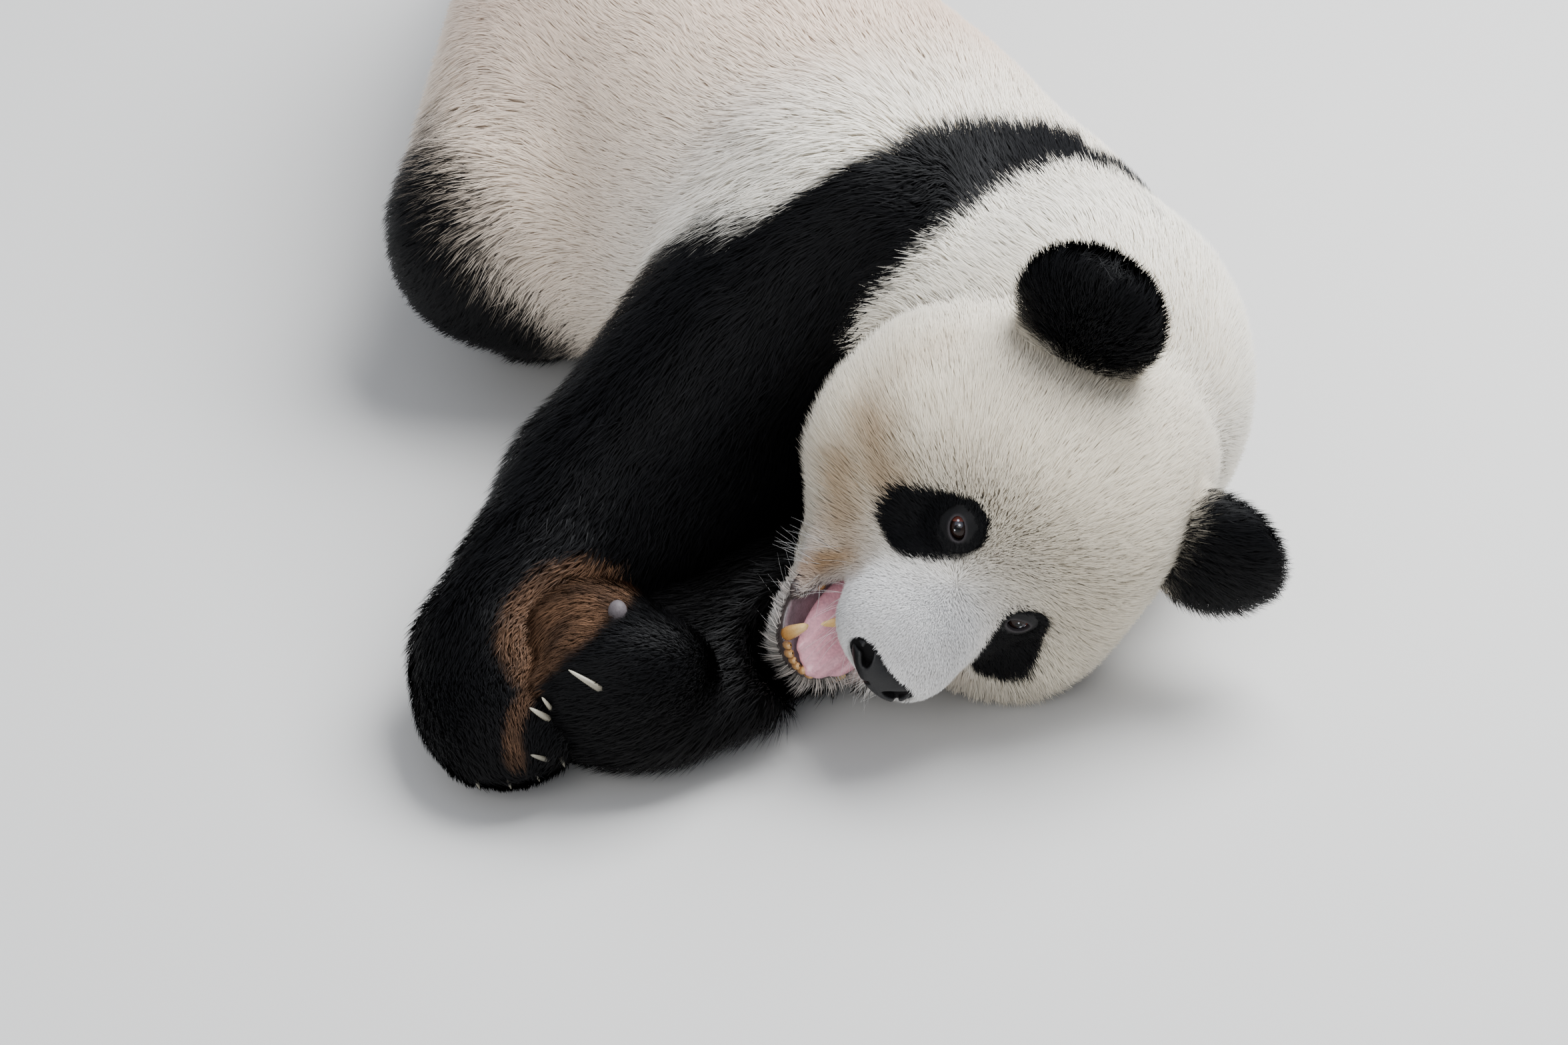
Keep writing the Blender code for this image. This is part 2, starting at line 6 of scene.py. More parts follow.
import bpy
import numpy as np
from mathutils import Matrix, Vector

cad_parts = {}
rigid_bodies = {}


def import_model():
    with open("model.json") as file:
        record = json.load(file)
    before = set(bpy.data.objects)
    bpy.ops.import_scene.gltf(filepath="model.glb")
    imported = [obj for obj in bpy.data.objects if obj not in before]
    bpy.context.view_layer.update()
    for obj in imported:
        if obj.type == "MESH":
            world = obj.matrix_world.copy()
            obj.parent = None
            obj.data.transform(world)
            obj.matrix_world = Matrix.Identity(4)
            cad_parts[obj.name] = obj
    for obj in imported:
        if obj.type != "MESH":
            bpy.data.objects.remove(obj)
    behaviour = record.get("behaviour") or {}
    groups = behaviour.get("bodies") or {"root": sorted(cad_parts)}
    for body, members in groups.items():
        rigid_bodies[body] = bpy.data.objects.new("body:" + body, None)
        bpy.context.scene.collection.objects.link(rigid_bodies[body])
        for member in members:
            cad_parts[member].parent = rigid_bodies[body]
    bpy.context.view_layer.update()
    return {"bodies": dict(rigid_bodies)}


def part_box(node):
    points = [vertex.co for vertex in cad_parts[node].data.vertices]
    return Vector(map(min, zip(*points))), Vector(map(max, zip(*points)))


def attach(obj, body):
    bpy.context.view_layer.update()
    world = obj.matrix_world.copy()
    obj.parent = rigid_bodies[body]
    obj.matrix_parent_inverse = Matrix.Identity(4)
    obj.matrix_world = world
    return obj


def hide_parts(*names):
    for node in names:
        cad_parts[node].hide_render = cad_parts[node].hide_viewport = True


for ob in list(bpy.data.objects):
    bpy.data.objects.remove(ob, do_unlink=True)
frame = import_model()
rng = np.random.default_rng(20)

# ---------------------------------------------------------------- sizes, metres, in the model's own design frame
# FIELDS
HEAD_C = np.array([0.028, 0.026, 0.170])
HEAD_R = np.array([[0.5159, 0.3949, 0.7602], [-0.1053, 0.9099, -0.4012], [-0.8502, 0.1269, 0.5110]])
EYES = {"right": (-0.0560, -0.1222, 0.0182), "left": (0.0405, -0.1270, 0.0190)}
EYE_R = 0.0125
CAD_EYE = (-0.0590, -0.1270, 0.0220)
NOSE = (0.0042, -0.2165, -0.0635)
NOSE_SIZE = (0.0345, 0.0215, 0.0190)
WHORL = np.array([-0.022, -0.158, 0.008])

ARM_RIGHT = [(-0.130, 0.260, 0.285, 0.130), (-0.342, 0.082, 0.120, 0.092), (-0.436, -0.070, 0.076, 0.072)]
ARM_LEFT = [(-0.030, 0.190, 0.118, 0.114), (-0.160, 0.010, 0.110, 0.110), (-0.300, -0.102, 0.110, 0.104)]
ARM_LEFT_FLAT = 0.46            # the left arm is pressed against the floor: its height beside its width
LEG_RIGHT = [(-0.262, 0.880, 0.245, 0.155), (-0.438, 0.462, 0.150, 0.108), (-0.398, 0.840, 0.142, 0.078), (-0.385, 1.010, 0.136, 0.066)]
LEG_LEFT = [(-0.300, 0.860, 0.120, 0.110), (-0.410, 0.500, 0.074, 0.080), (-0.385, 0.900, 0.064, 0.070), (-0.370, 1.050, 0.060, 0.062)]
PAWS = {
    "forepaw_right": dict(root=(-0.440, -0.092, 0.066), along=(0.32, -0.94, -0.10), back=(-0.22, -0.12, 0.96), r=(0.096, 0.080, 0.060), reach=0.068, claw=0.036),
    "forepaw_left": dict(root=(-0.286, -0.138, 0.088), along=(-0.96, -0.28, 0.02), back=(0.10, -0.90, -0.35), r=(0.084, 0.078, 0.060), reach=0.060, claw=0.036),
    "hindpaw_right": dict(root=(-0.386, 1.035, 0.134), along=(-0.25, 0.95, -0.16), back=(-0.85, -0.30, 0.45), r=(0.105, 0.058, 0.062), reach=0.070, claw=0.030),
    "hindpaw_left": dict(root=(-0.366, 1.085, 0.058), along=(-0.20, 0.97, -0.03), back=(-0.85, -0.25, 0.48), r=(0.105, 0.058, 0.060), reach=0.070, claw=0.030),
}


def unit(a):
    a = np.array(a, float)
    return a / np.linalg.norm(a)


def rows(a):
    return a / (np.linalg.norm(a, axis=1)[:, None] + 1e-12)


def turned(along, up=(0, 0, 1)):
    a = unit(along)
    u = np.array(up, float)
    u = unit(u - a * (u @ a))
    return np.stack([a, np.cross(u, a), u], 1)


def ball(p, c, r, turn=None):
    q = p - np.asarray(c, float)
    if turn is not None:
        q = q @ turn
    r = np.asarray(r, float)
    k0 = np.sqrt(((q / r) ** 2).sum(1)) + 1e-9
    k1 = np.sqrt(((q / (r * r)) ** 2).sum(1)) + 1e-9
    return k0 * (k0 - 1.0) / k1


def cone(p, a, b, ra, rb):
    a, b = np.asarray(a, float), np.asarray(b, float)
    d = b - a
    t = np.clip(((p - a) @ d) / (d @ d), 0, 1)
    return np.sqrt((((p - a) - t[:, None] * d) ** 2).sum(1)) - (ra + t * (rb - ra))


def join(a, b, k):
    h = np.maximum(k - np.abs(a - b), 0) / k
    return np.minimum(a, b) - h * h * k * 0.25


def carve(a, b, k):
    """a without b, with a rounded edge."""
    return -join(-a, b, k)


def ease(x, lo, hi):
    t = np.clip((x - lo) / (hi - lo), 0, 1)
    return t * t * (3 - 2 * t)


def to_head(p):
    return (p - HEAD_C) @ HEAD_R


def from_head(q):
    return np.asarray(q, float) @ HEAD_R.T + HEAD_C


def head_shape(q):
    m = q.copy()
    m[:, 0] = np.abs(m[:, 0])
    d = ball(q, (0, 0.030, 0.030), (0.142, 0.135, 0.122))                        # skull
    d = join(d, ball(m, (0.084, -0.008, -0.030), (0.102, 0.120, 0.106)), 0.05)   # cheeks
    d = join(d, ball(m, (0.082, -0.050, -0.080), (0.074, 0.078, 0.066)), 0.05)   # jowls
    d = join(d, ball(q, (0, -0.045, 0.055), (0.108, 0.090, 0.085)), 0.05)        # brow
    d = join(d, cone(q, (0, -0.070, -0.030), (0, -0.178, -0.052), 0.080, 0.055), 0.045)   # muzzle
    flat = q @ np.array([0.863, -0.067, 0.501]) - 0.145                                   # the left cheek, pressed flatter
    d = -join(-d, -flat, 0.035)
    d = join(d, ball(m, (0.026, -0.176, -0.062), (0.035, 0.046, 0.038)), 0.02)            # upper lips
    m[:, 0] = np.abs(q[:, 0] + 0.010)
    d = join(d, cone(m, (0.066, -0.080, -0.078), (0.058, -0.138, -0.106), 0.034, 0.021), 0.04)      # corners of the mouth
    return join(d, cone(m, (0.058, -0.138, -0.106), (0.054, -0.174, -0.128), 0.021, 0.012), 0.01)


def jaw_shape(q):
    d = cone(q, (-0.058, -0.062, -0.104), (-0.0115, -0.173, -0.145), 0.058, 0.0385)
    d = join(d, cone(q, (0.048, -0.062, -0.104), (-0.0095, -0.173, -0.145), 0.058, 0.0385), 0.03)
    d = join(d, ball(q, (-0.018, -0.163, -0.143), (0.046, 0.047, 0.030)), 0.012)                  # lower lip
    return join(d, ball(q, (0, 0.02, -0.10), (0.085, 0.09, 0.06)), 0.03)


def mouth_plane(q):
    """Above the lower lip's rim: positive."""
    return ((q[:, 2] + 0.107) - 0.50 * (q[:, 1] + 0.125)) / math.hypot(1, 0.5)


def mouth_hollow(q):
    return ball(q, (-0.018, -0.163, -0.1285), (0.050, 0.0425, 0.0205), turned((0, -1, -0.47)))


EARS = {-1: (-0.132, 0.036, 0.131), 1: (0.1080, 0.010, 0.1180)}


def ear_shape(q, side):
    turn = turned((side * 0.72, 0.0, 0.69), (side * 0.35, -0.88, 0.30))
    return ball(q, EARS[side], (0.071, 0.068, 0.037) if side < 0 else (0.070, 0.066, 0.037), turn)


def torso(p):
    d = ball(p, (-0.120, 0.370, 0.205), (0.24, 0.208, 0.213), turned((-0.44, 0.90, 0)))           # chest
    d = join(d, ball(p, (-0.256, 0.640, 0.208), (0.37, 0.222, 0.216), turned((-0.22, 0.97, 0))), 0.10)
    d = join(d, ball(p, (-0.285, 0.580, 0.153), (0.25, 0.188, 0.158), turned((-0.10, 0.97, 0))), 0.06)   # belly
    d = join(d, ball(p, (-0.262, 0.940, 0.200), (0.186, 0.25, 0.206)), 0.11)                      # rump
    n = ball(p, (0.072, 0.160, 0.188), (0.155, 0.158, 0.183), turned((-0.40, 0.92, 0)))           # nape
    n = join(n, cone(p, (0.02, 0.10, 0.17), (-0.06, 0.30, 0.20), 0.13, 0.17), 0.05)
    d = join(d, n, 0.06)
    d = join(d, ball(p, (0.045, 0.275, 0.225), (0.115, 0.125, 0.115)), 0.06)                       # withers
    return join(d, cone(p, ARM_RIGHT[0][:3], (-0.215, 0.190, 0.220), 0.112, 0.070), 0.06)         # shoulder


def limb(p, joints):
    d = None
    for a, b in zip(joints[:-1], joints[1:]):
        e = cone(p, a[:3], b[:3], a[3], b[3])
        d = e if d is None else join(d, e, 0.025)
    return d


def arm_right_shape(p):
    """The upper arm's loose underside fills the space over the left arm."""
    return join(limb(p, ARM_RIGHT), cone(p, (-0.150, 0.200, 0.165), (-0.335, 0.040, 0.078), 0.085, 0.070), 0.03)


def arm_left_shape(p):
    """Lower than it is wide, with a dent where the chin lies on it."""
    d = limb(p / np.array([1.0, 1.0, ARM_LEFT_FLAT]), ARM_LEFT) * (0.45 + 0.55 * ARM_LEFT_FLAT)
    q = to_head(p)
    chin = jaw_shape(q)
    for step in (0.014, 0.028, 0.042, 0.056):
        chin = np.minimum(chin, jaw_shape(q + step * np.array([0.415, 0.661, -0.625])))
    return carve(d, chin - 0.004, 0.014)


def paw_frame(paw):
    a = unit(paw["along"])
    n = np.array(paw["back"], float)
    n = unit(n - a * (n @ a))
    return a, np.cross(n, a), n


def paw_shape(p, paw):
    a, w, n = paw_frame(paw)
    root = np.array(paw["root"], float)
    turn = np.stack([a, w, n], 1)
    d = ball(p, root + a * paw["r"][0] * 0.45, paw["r"], turn)
    for i in range(-2, 3):
        spot = root + a * (paw["reach"] + 0.030 - 0.0045 * i * i) + w * 0.0245 * i - n * 0.004
        d = join(d, ball(p, spot, (0.034, 0.0175, 0.024), turn), 0.012)
    return d


def tail_shape(p):
    return ball(p, (-0.215, 1.165, 0.150), (0.075, 0.042, 0.036), turned((0.35, 1, -0.45)))


def part_distances(p):
    q = to_head(p)
    d = {"head": head_shape(q), "jaw": carve(jaw_shape(q), -mouth_plane(q), 0.008),
         "ear_r": ear_shape(q, -1), "ear_l": ear_shape(q, 1), "torso": torso(p), "tail": tail_shape(p),
         "arm_r": arm_right_shape(p), "arm_l": arm_left_shape(p), "leg_r": limb(p, LEG_RIGHT), "leg_l": limb(p, LEG_LEFT)}
    for k, paw in PAWS.items():
        d[k] = paw_shape(p, paw)
    d["forepaw_left"] = join(d["forepaw_left"], ball(p, (-0.348, -0.108, 0.112), (0.060, 0.050, 0.052)), 0.03)    # heel of the palm
    return d, q


def outer_of(d):
    """Distance to the tips of the coat, the parts' distances given."""
    s = join(d["head"], d["jaw"], 0.022)
    s = join(s, join(d["ear_r"], d["ear_l"], 0.001), 0.016)
    body = join(d["torso"], d["tail"], 0.02)
    body = join(body, join(d["leg_r"], d["hindpaw_right"], 0.03), 0.085)
    body = join(body, join(d["leg_l"], d["hindpaw_left"], 0.03), 0.012)
    body = join(body, join(d["arm_r"], d["forepaw_right"], 0.03), 0.04)
    body = join(body, join(d["arm_l"], d["forepaw_left"], 0.03), 0.006)
    return join(s, body, 0.014)


def nearness(d, width=0.018):
    """How much of each place belongs to each part, from 0 to 1."""
    names = list(d)
    v = np.stack([d[k] for k in names], 1)
    w = np.exp(-np.clip((v - v.min(1)[:, None]) / width, 0, 40))
    w /= w.sum(1)[:, None]
    return {k: w[:, i] for i, k in enumerate(names)}


DEPTHS = {"head": 0.010, "jaw": 0.008, "ear_r": 0.014, "ear_l": 0.014, "torso": 0.014, "tail": 0.013, "arm_r": 0.013, "arm_l": 0.014,
          "leg_r": 0.014, "leg_l": 0.013, "forepaw_right": 0.007, "forepaw_left": 0.007, "hindpaw_right": 0.007, "hindpaw_left": 0.007}


def cheek_fluff(q):
    """The long fur low on the cheeks, from 0 to 1."""
    return ease(np.abs(q[:, 0]), 0.080, 0.120) * ease(-q[:, 2], -0.010, 0.045)


def coat_depth(d, q):
    w = nearness(d)
    depth = sum(w[k] * DEPTHS[k] for k in w)
    face = ease(-q[:, 1], 0.09, 0.20) * w["head"] * (1 - 0.7 * ease(np.abs(q[:, 0]), 0.075, 0.115))
    depth = depth * (1 - 0.62 * face) + 0.006 * cheek_fluff(q) * w["head"]
    for side in EYES:
        away = np.linalg.norm(q - np.array(EYES[side]) - np.array([0, -0.008, 0]), axis=1)
        depth = depth * (1 - 0.55 * (1 - ease(away, 0.012, 0.036)))
    return depth


def skin_field(p):
    d, q = part_distances(p)
    s = outer_of(d) + coat_depth(d, q)
    return carve(s, mouth_hollow(q), 0.005)
# END FIELDS




# ---------------------------------------------------------------- from a distance function to a mesh
def axis_steps(low, high, fine_low, fine_high, fine, coarse):
    """Grid lines along one axis, closer together between fine_low and fine_high."""
    out, x = [low], low
    while x < high:
        away = max(fine_low - x, x - fine_high, 0)
        x += min(coarse, fine + 0.10 * away)
        out.append(x)
    while len(out) % 4 != 1:
        out.append(out[-1] + coarse)
    return np.array(out)


def surface(fn, axes, rounds=2):
    """Surface nets on a rectilinear grid, evaluated only near the surface. Returns points and quads."""
    n = [len(a) for a in axes]
    far = np.stack(np.meshgrid(*[a[::4] for a in axes], indexing="ij"), -1)
    dist = fn(far.reshape(-1, 3)).reshape(far.shape[:3])
    low = np.abs(dist)
    for k in range(3):
        low = np.minimum(low.take(range(low.shape[k] - 1), k), low.take(range(1, low.shape[k]), k))
    size = [a[4::4] - a[:-4:4] for a in axes]
    diagonal = np.sqrt(size[0][:, None, None] ** 2 + size[1][None, :, None] ** 2 + size[2][None, None, :] ** 2)
    near = low < diagonal * 1.4
    side = np.sign(dist[:-1, :-1, :-1])
    for k in range(3):
        near, side = near.repeat(4, k), side.repeat(4, k)
        near = np.concatenate([near, near.take([-1], k)], k)
        side = np.concatenate([side, side.take([-1], k)], k)
        back = [slice(None)] * 3
        front = [slice(None)] * 3
        back[k], front[k] = slice(0, -1), slice(1, None)
        more = near.copy()
        more[tuple(front)] |= near[tuple(back)]
        near = more
    v = side * 1.0
    i, j, k = np.nonzero(near)
    v[near] = fn(np.stack([axes[0][i], axes[1][j], axes[2][k]], 1))
    inside = v < 0
    corners = [(i, j, k) for i in (0, 1) for j in (0, 1) for k in (0, 1)]
    pairs = [(a, b) for a in corners for b in corners if a < b and sum(abs(a[i] - b[i]) for i in range(3)) == 1]
    box = [slice(0, m - 1) for m in n]
    same = np.zeros([m - 1 for m in n], int)
    for o in corners:
        same += inside[o[0]:n[0] - 1 + o[0], o[1]:n[1] - 1 + o[1], o[2]:n[2] - 1 + o[2]]
    cell = np.argwhere((same > 0) & (same < 8))
    index = -np.ones([m - 1 for m in n], int)
    index[cell[:, 0], cell[:, 1], cell[:, 2]] = np.arange(len(cell))
    total, count = np.zeros((len(cell), 3)), np.zeros(len(cell))
    for a, b in pairs:
        ia, ib = cell + np.array(a), cell + np.array(b)
        va, vb = v[ia[:, 0], ia[:, 1], ia[:, 2]], v[ib[:, 0], ib[:, 1], ib[:, 2]]
        crossed = (va < 0) != (vb < 0)
        t = np.where(crossed, va / (va - vb + 1e-30), 0)
        for k in range(3):
            total[:, k] += np.where(crossed, a[k] + t * (b[k] - a[k]), 0)
        count += crossed
    part = total / count[:, None]
    points = np.stack([axes[k][cell[:, k]] + part[:, k] * (axes[k][cell[:, k] + 1] - axes[k][cell[:, k]]) for k in range(3)], 1)
    cells = np.stack([axes[k][cell[:, k] + 1] - axes[k][cell[:, k]] for k in range(3)], 1).min(1)
    quads = []
    for axis in range(3):
        s0 = [slice(1, k - 1) for k in n]
        s1 = list(s0)
        s0[axis], s1[axis] = slice(0, n[axis] - 1), slice(1, n[axis])
        a, b = inside[tuple(s0)], inside[tuple(s1)]
        step = np.array([1, 1, 1])
        step[axis] = 0
        m = np.argwhere(a != b) + step
        flip = a[a != b]
        if axis == 1:
            flip = ~flip
        u, w = [k for k in range(3) if k != axis]
        ring = []
        for du, dw in ((1, 1), (0, 1), (0, 0), (1, 0)):
            q = m.copy()
            q[:, u] -= du
            q[:, w] -= dw
            ring.append(index[q[:, 0], q[:, 1], q[:, 2]])
        quad = np.stack(ring, 1)
        quad[~flip] = quad[~flip][:, ::-1]
        quads.append(quad)
    for _ in range(rounds):
        f0, g = slope(fn, points)
        move = -(f0 / ((g * g).sum(1) + 1e-9))[:, None] * g
        far_ = np.linalg.norm(move, axis=1) + 1e-12
        points = points + move * np.minimum(1, 0.35 * cells / far_)[:, None]
    return points, np.concatenate(quads)


def slope(fn, p, e=2e-4):
    f0 = fn(p)
    return f0, np.stack([fn(p + np.eye(3)[k] * e) - f0 for k in range(3)], 1) / e


# ---------------------------------------------------------------- objects
root = frame["bodies"]["root"]
OFFSET = np.array([(a + b) / 2 for a, b in zip(*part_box("eye_right"))]) - from_head(CAD_EYE)


def mesh_object(name, points, faces, material, smooth=True, move=True):
    """faces: an (n, 3) or (n, 4) array."""
    points = np.asarray(points, float) + (OFFSET if move else 0)
    mesh = bpy.data.meshes.new(name)
    mesh.vertices.add(len(points))
    mesh.vertices.foreach_set("co", points.astype(np.float32).ravel())
    faces = np.asarray(faces)
    sides = faces.shape[1]
    mesh.loops.add(faces.size)
    mesh.loops.foreach_set("vertex_index", faces.astype(np.int32).ravel())
    mesh.polygons.add(len(faces))
    mesh.polygons.foreach_set("loop_start", np.arange(0, faces.size, sides, dtype=np.int32))
    mesh.update(calc_edges=True)
    if smooth:
        mesh.polygons.foreach_set("use_smooth", np.ones(len(faces), bool))
    if material is not None:
        mesh.materials.append(material)
    ob = bpy.data.objects.new(name, mesh)
    bpy.context.scene.collection.objects.link(ob)
    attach(ob, "root")
    return ob


def paint(ob, colours, name="coat"):
    layer = ob.data.color_attributes.new(name, "FLOAT_COLOR", "POINT")
    c = np.ones((len(colours), 4), np.float32)
    c[:, :3] = colours
    layer.data.foreach_set("color", c.ravel())




# ---------------------------------------------------------------- small noise, the same every run
def hash3(i, j, k, seed=0):
    h = (i * 73856093) ^ (j * 19349663) ^ (k * 83492791) ^ (seed * 2654435761)
    h = (h ^ (h >> 13)) * 1274126177
    h = (h ^ (h >> 16)) & 0xFFFFFF
    return h / float(0xFFFFFF)


def noise(p, size, seed=0):
    """Smooth value noise from -1 to 1."""
    x = p / size
    i = np.floor(x).astype(np.int64)
    f = x - i
    f = f * f * (3 - 2 * f)
    out = 0
    for a in (0, 1):
        for b in (0, 1):
            for c in (0, 1):
                w = (f[:, 0] if a else 1 - f[:, 0]) * (f[:, 1] if b else 1 - f[:, 1]) * (f[:, 2] if c else 1 - f[:, 2])
                out = out + w * hash3(i[:, 0] + a, i[:, 1] + b, i[:, 2] + c, seed)
    return out * 2 - 1


# ---------------------------------------------------------------- markings, the same for skin and coat
def lin(r, g, b):
    """A colour by its usual 0 to 255 numbers, as the shader wants it."""
    c = np.array([r, g, b], float) / 255
    return np.where(c <= 0.04045, c / 12.92, ((c + 0.055) / 1.055) ** 2.4)


def segment(a, b, x, z):
    a, b = np.array(a), np.array(b)
    d = b - a
    t = np.clip(((x - a[0]) * d[0] + (z - a[1]) * d[1]) / (d @ d), 0, 1)
    return np.hypot(x - a[0] - t * d[0], z - a[1] - t * d[1]), t


PATCHES = (((-0.0600, 0.0270), (-0.0860, -0.0228), 0.0235, 0.0268), ((0.0490, 0.0285), (0.0888, -0.0270), 0.0195, 0.0262))


def patch_depth(q):
    """How far inside a black eye patch, negative outside."""
    out = np.full(len(q), -1.0)
    for inner, outer, r0, r1 in PATCHES:
        away, t = segment(inner, outer, q[:, 0], q[:, 2])
        out = np.maximum(out, r0 + (r1 - r0) * t - away)
    return np.where(q[:, 1] < -0.06, out, -1.0)


NECK_SIDE = (np.array([-0.020, 0.186, 0.350]), np.array([0.727, -0.686, 0.0]))
TRUNK_SIDE = (np.array([-0.171, 0.199, 0.349]), np.array([0.477, -0.768, -0.428]))


WITHERS = ((0.050, 0.290, 0.358, 0.030), (0.0893, 0.2947, 0.3434, 0.0125), (0.1206, 0.2620, 0.3340, 0.0036), (0.1420, 0.1865, 0.3493, 0.0020))
FAR_SIDE = (np.array([0.0893, 0.2947, 0.3434]), np.array([0.3504, -0.9312, -0.1001]))
NECK_EDGE = ((-0.145, -1.0), (-0.136, 0.200), (-0.1325, 0.262), (-0.129, 0.2864), (-0.1205, 0.3035), (-0.105, 0.3236), (-0.078, 0.3552), (-0.0507, 0.3815),
             (-0.0065, 0.4146), (0.034, 0.4325), (0.040, 0.4000), (0.050, -1.0))


def band_depth(p):
    """How far inside the black band over the shoulders, negative outside."""
    neck = -((p - NECK_SIDE[0]) @ NECK_SIDE[1])
    trunk = (p - TRUNK_SIDE[0]) @ TRUNK_SIDE[1] + np.interp(p[:, 0], (-0.10, -0.06, 0.0, 0.04, 0.08), (-0.004, 0.006, 0.005, -0.007, -0.020))
    out = np.minimum(np.minimum(neck, trunk), 0.078 - p[:, 0])
    for a, b in zip(WITHERS[:-1], WITHERS[1:]):
        out = np.maximum(out, -cone(p, a[:3], b[:3], a[3], b[3]))
    wide = 0.011 + 0.25 * np.clip(0.33 - p[:, 2], 0, 0.33)
    return np.maximum(out, np.minimum(wide - np.abs((p - FAR_SIDE[0]) @ FAR_SIDE[1]), p[:, 0] - 0.086))


def blackness(p, q, d):
    """Signed distance into the black of the coat, and how softly it ends there."""
    s = patch_depth(q)
    soft = np.full(len(p), 0.0016)

    def more(depth, width):
        nonlocal s
        soft[:] = np.where(depth > s, width, soft)
        s = np.maximum(s, depth)

    for ear in ("ear_r", "ear_l"):
        more((d["head"] - d[ear]) * 0.5 - 0.006, 0.003)
    body = np.minimum(d["torso"], 1.0)
    more(np.where(np.minimum(d["head"], d["jaw"]) < d["torso"] - 0.004, -1, band_depth(p)), 0.0035)
    arms = np.minimum(np.minimum(d["arm_r"], d["arm_l"]), np.minimum(d["forepaw_right"], d["forepaw_left"]))
    flesh = np.minimum(np.minimum(d["head"], d["jaw"]), d["torso"])
    more(np.minimum((flesh - arms) * 0.5, (p - TRUNK_SIDE[0]) @ TRUNK_SIDE[1] - 0.014), 0.003)
    more((np.minimum(flesh, 1) - arms) * 0.5 - 0.0125, 0.003)
    edge = 0.7 * (0.588 * p[:, 1] + 0.809 * p[:, 2] - np.interp(p[:, 0], *zip(*NECK_EDGE)))
    edge = np.maximum(np.maximum(edge, 0.06 - p[:, 1]), 0.215 - p[:, 2])
    s = np.where(np.minimum(d["head"], d["jaw"]) < flesh + 0.0005, s, np.minimum(s, edge))
    soft[:] = np.where(s == edge, 0.0035, soft)
    legs = np.minimum(np.minimum(d["leg_r"], d["leg_l"]), np.minimum(d["hindpaw_right"], d["hindpaw_left"]))
    more((flesh - legs) * 0.5 - 0.0275 + 0.031 * (1 - ease(p[:, 2], 0.07, 0.19)) - 0.030 * ease(p[:, 2], 0.23, 0.31), 0.013)
    tail = (d["torso"] - d["tail"])
    return np.where(tail > 0.01, -0.05, s), soft


TANS = (((-0.1615, -0.0915, -0.0320), (-0.1200, -0.1230, -0.0290), 0.002, 0.048, 0.66), ((-0.0800, -0.1670, -0.1190), (-0.0760, -0.1590, -0.0835), 0.002, 0.032, 0.92),
        ((-0.0780, -0.1500, -0.0900), (-0.1388, -0.1170, -0.0678), 0.002, 0.044, 0.72), ((0.0620, -0.1500, -0.0950), (0.0900, -0.1150, -0.0700), 0.004, 0.030, 0.45),
        ((-0.1700, -0.0600, -0.0300), (-0.1750, -0.0100, 0.0300), 0.004, 0.030, 0.25))
ELBOW = np.array([-0.508, 0.010, 0.045])
PALM = (np.array([-0.368, -0.188, 0.146]), np.array([-0.680, 0.420, 0.600]))


FRINGE = ((-0.402, -0.1855, 0.1079), (-0.4119, -0.2018, 0.0977), (-0.4163, -0.2159, 0.0838), (-0.4120, -0.2260, 0.0617))


def palm_amount(p):
    """Brown fur round the palm of the left forepaw, from 0 to 1."""
    s = (p - PALM[0]) @ PALM[1]
    s = np.maximum(s, np.minimum(-0.409 - p[:, 0], 0.012))
    near = ball(p, (-0.350, -0.120, 0.110), (0.078, 0.080, 0.062), None)
    out = ease(s, -0.004, 0.008) * (1 - ease(near, -0.002, 0.012))
    for a, b in zip(FRINGE[:-1], FRINGE[1:]):
        out = np.maximum(out, 0.75 * (1 - ease(cone(p, a, b, 0.004, 0.004), 0.0, 0.008)))
    return out


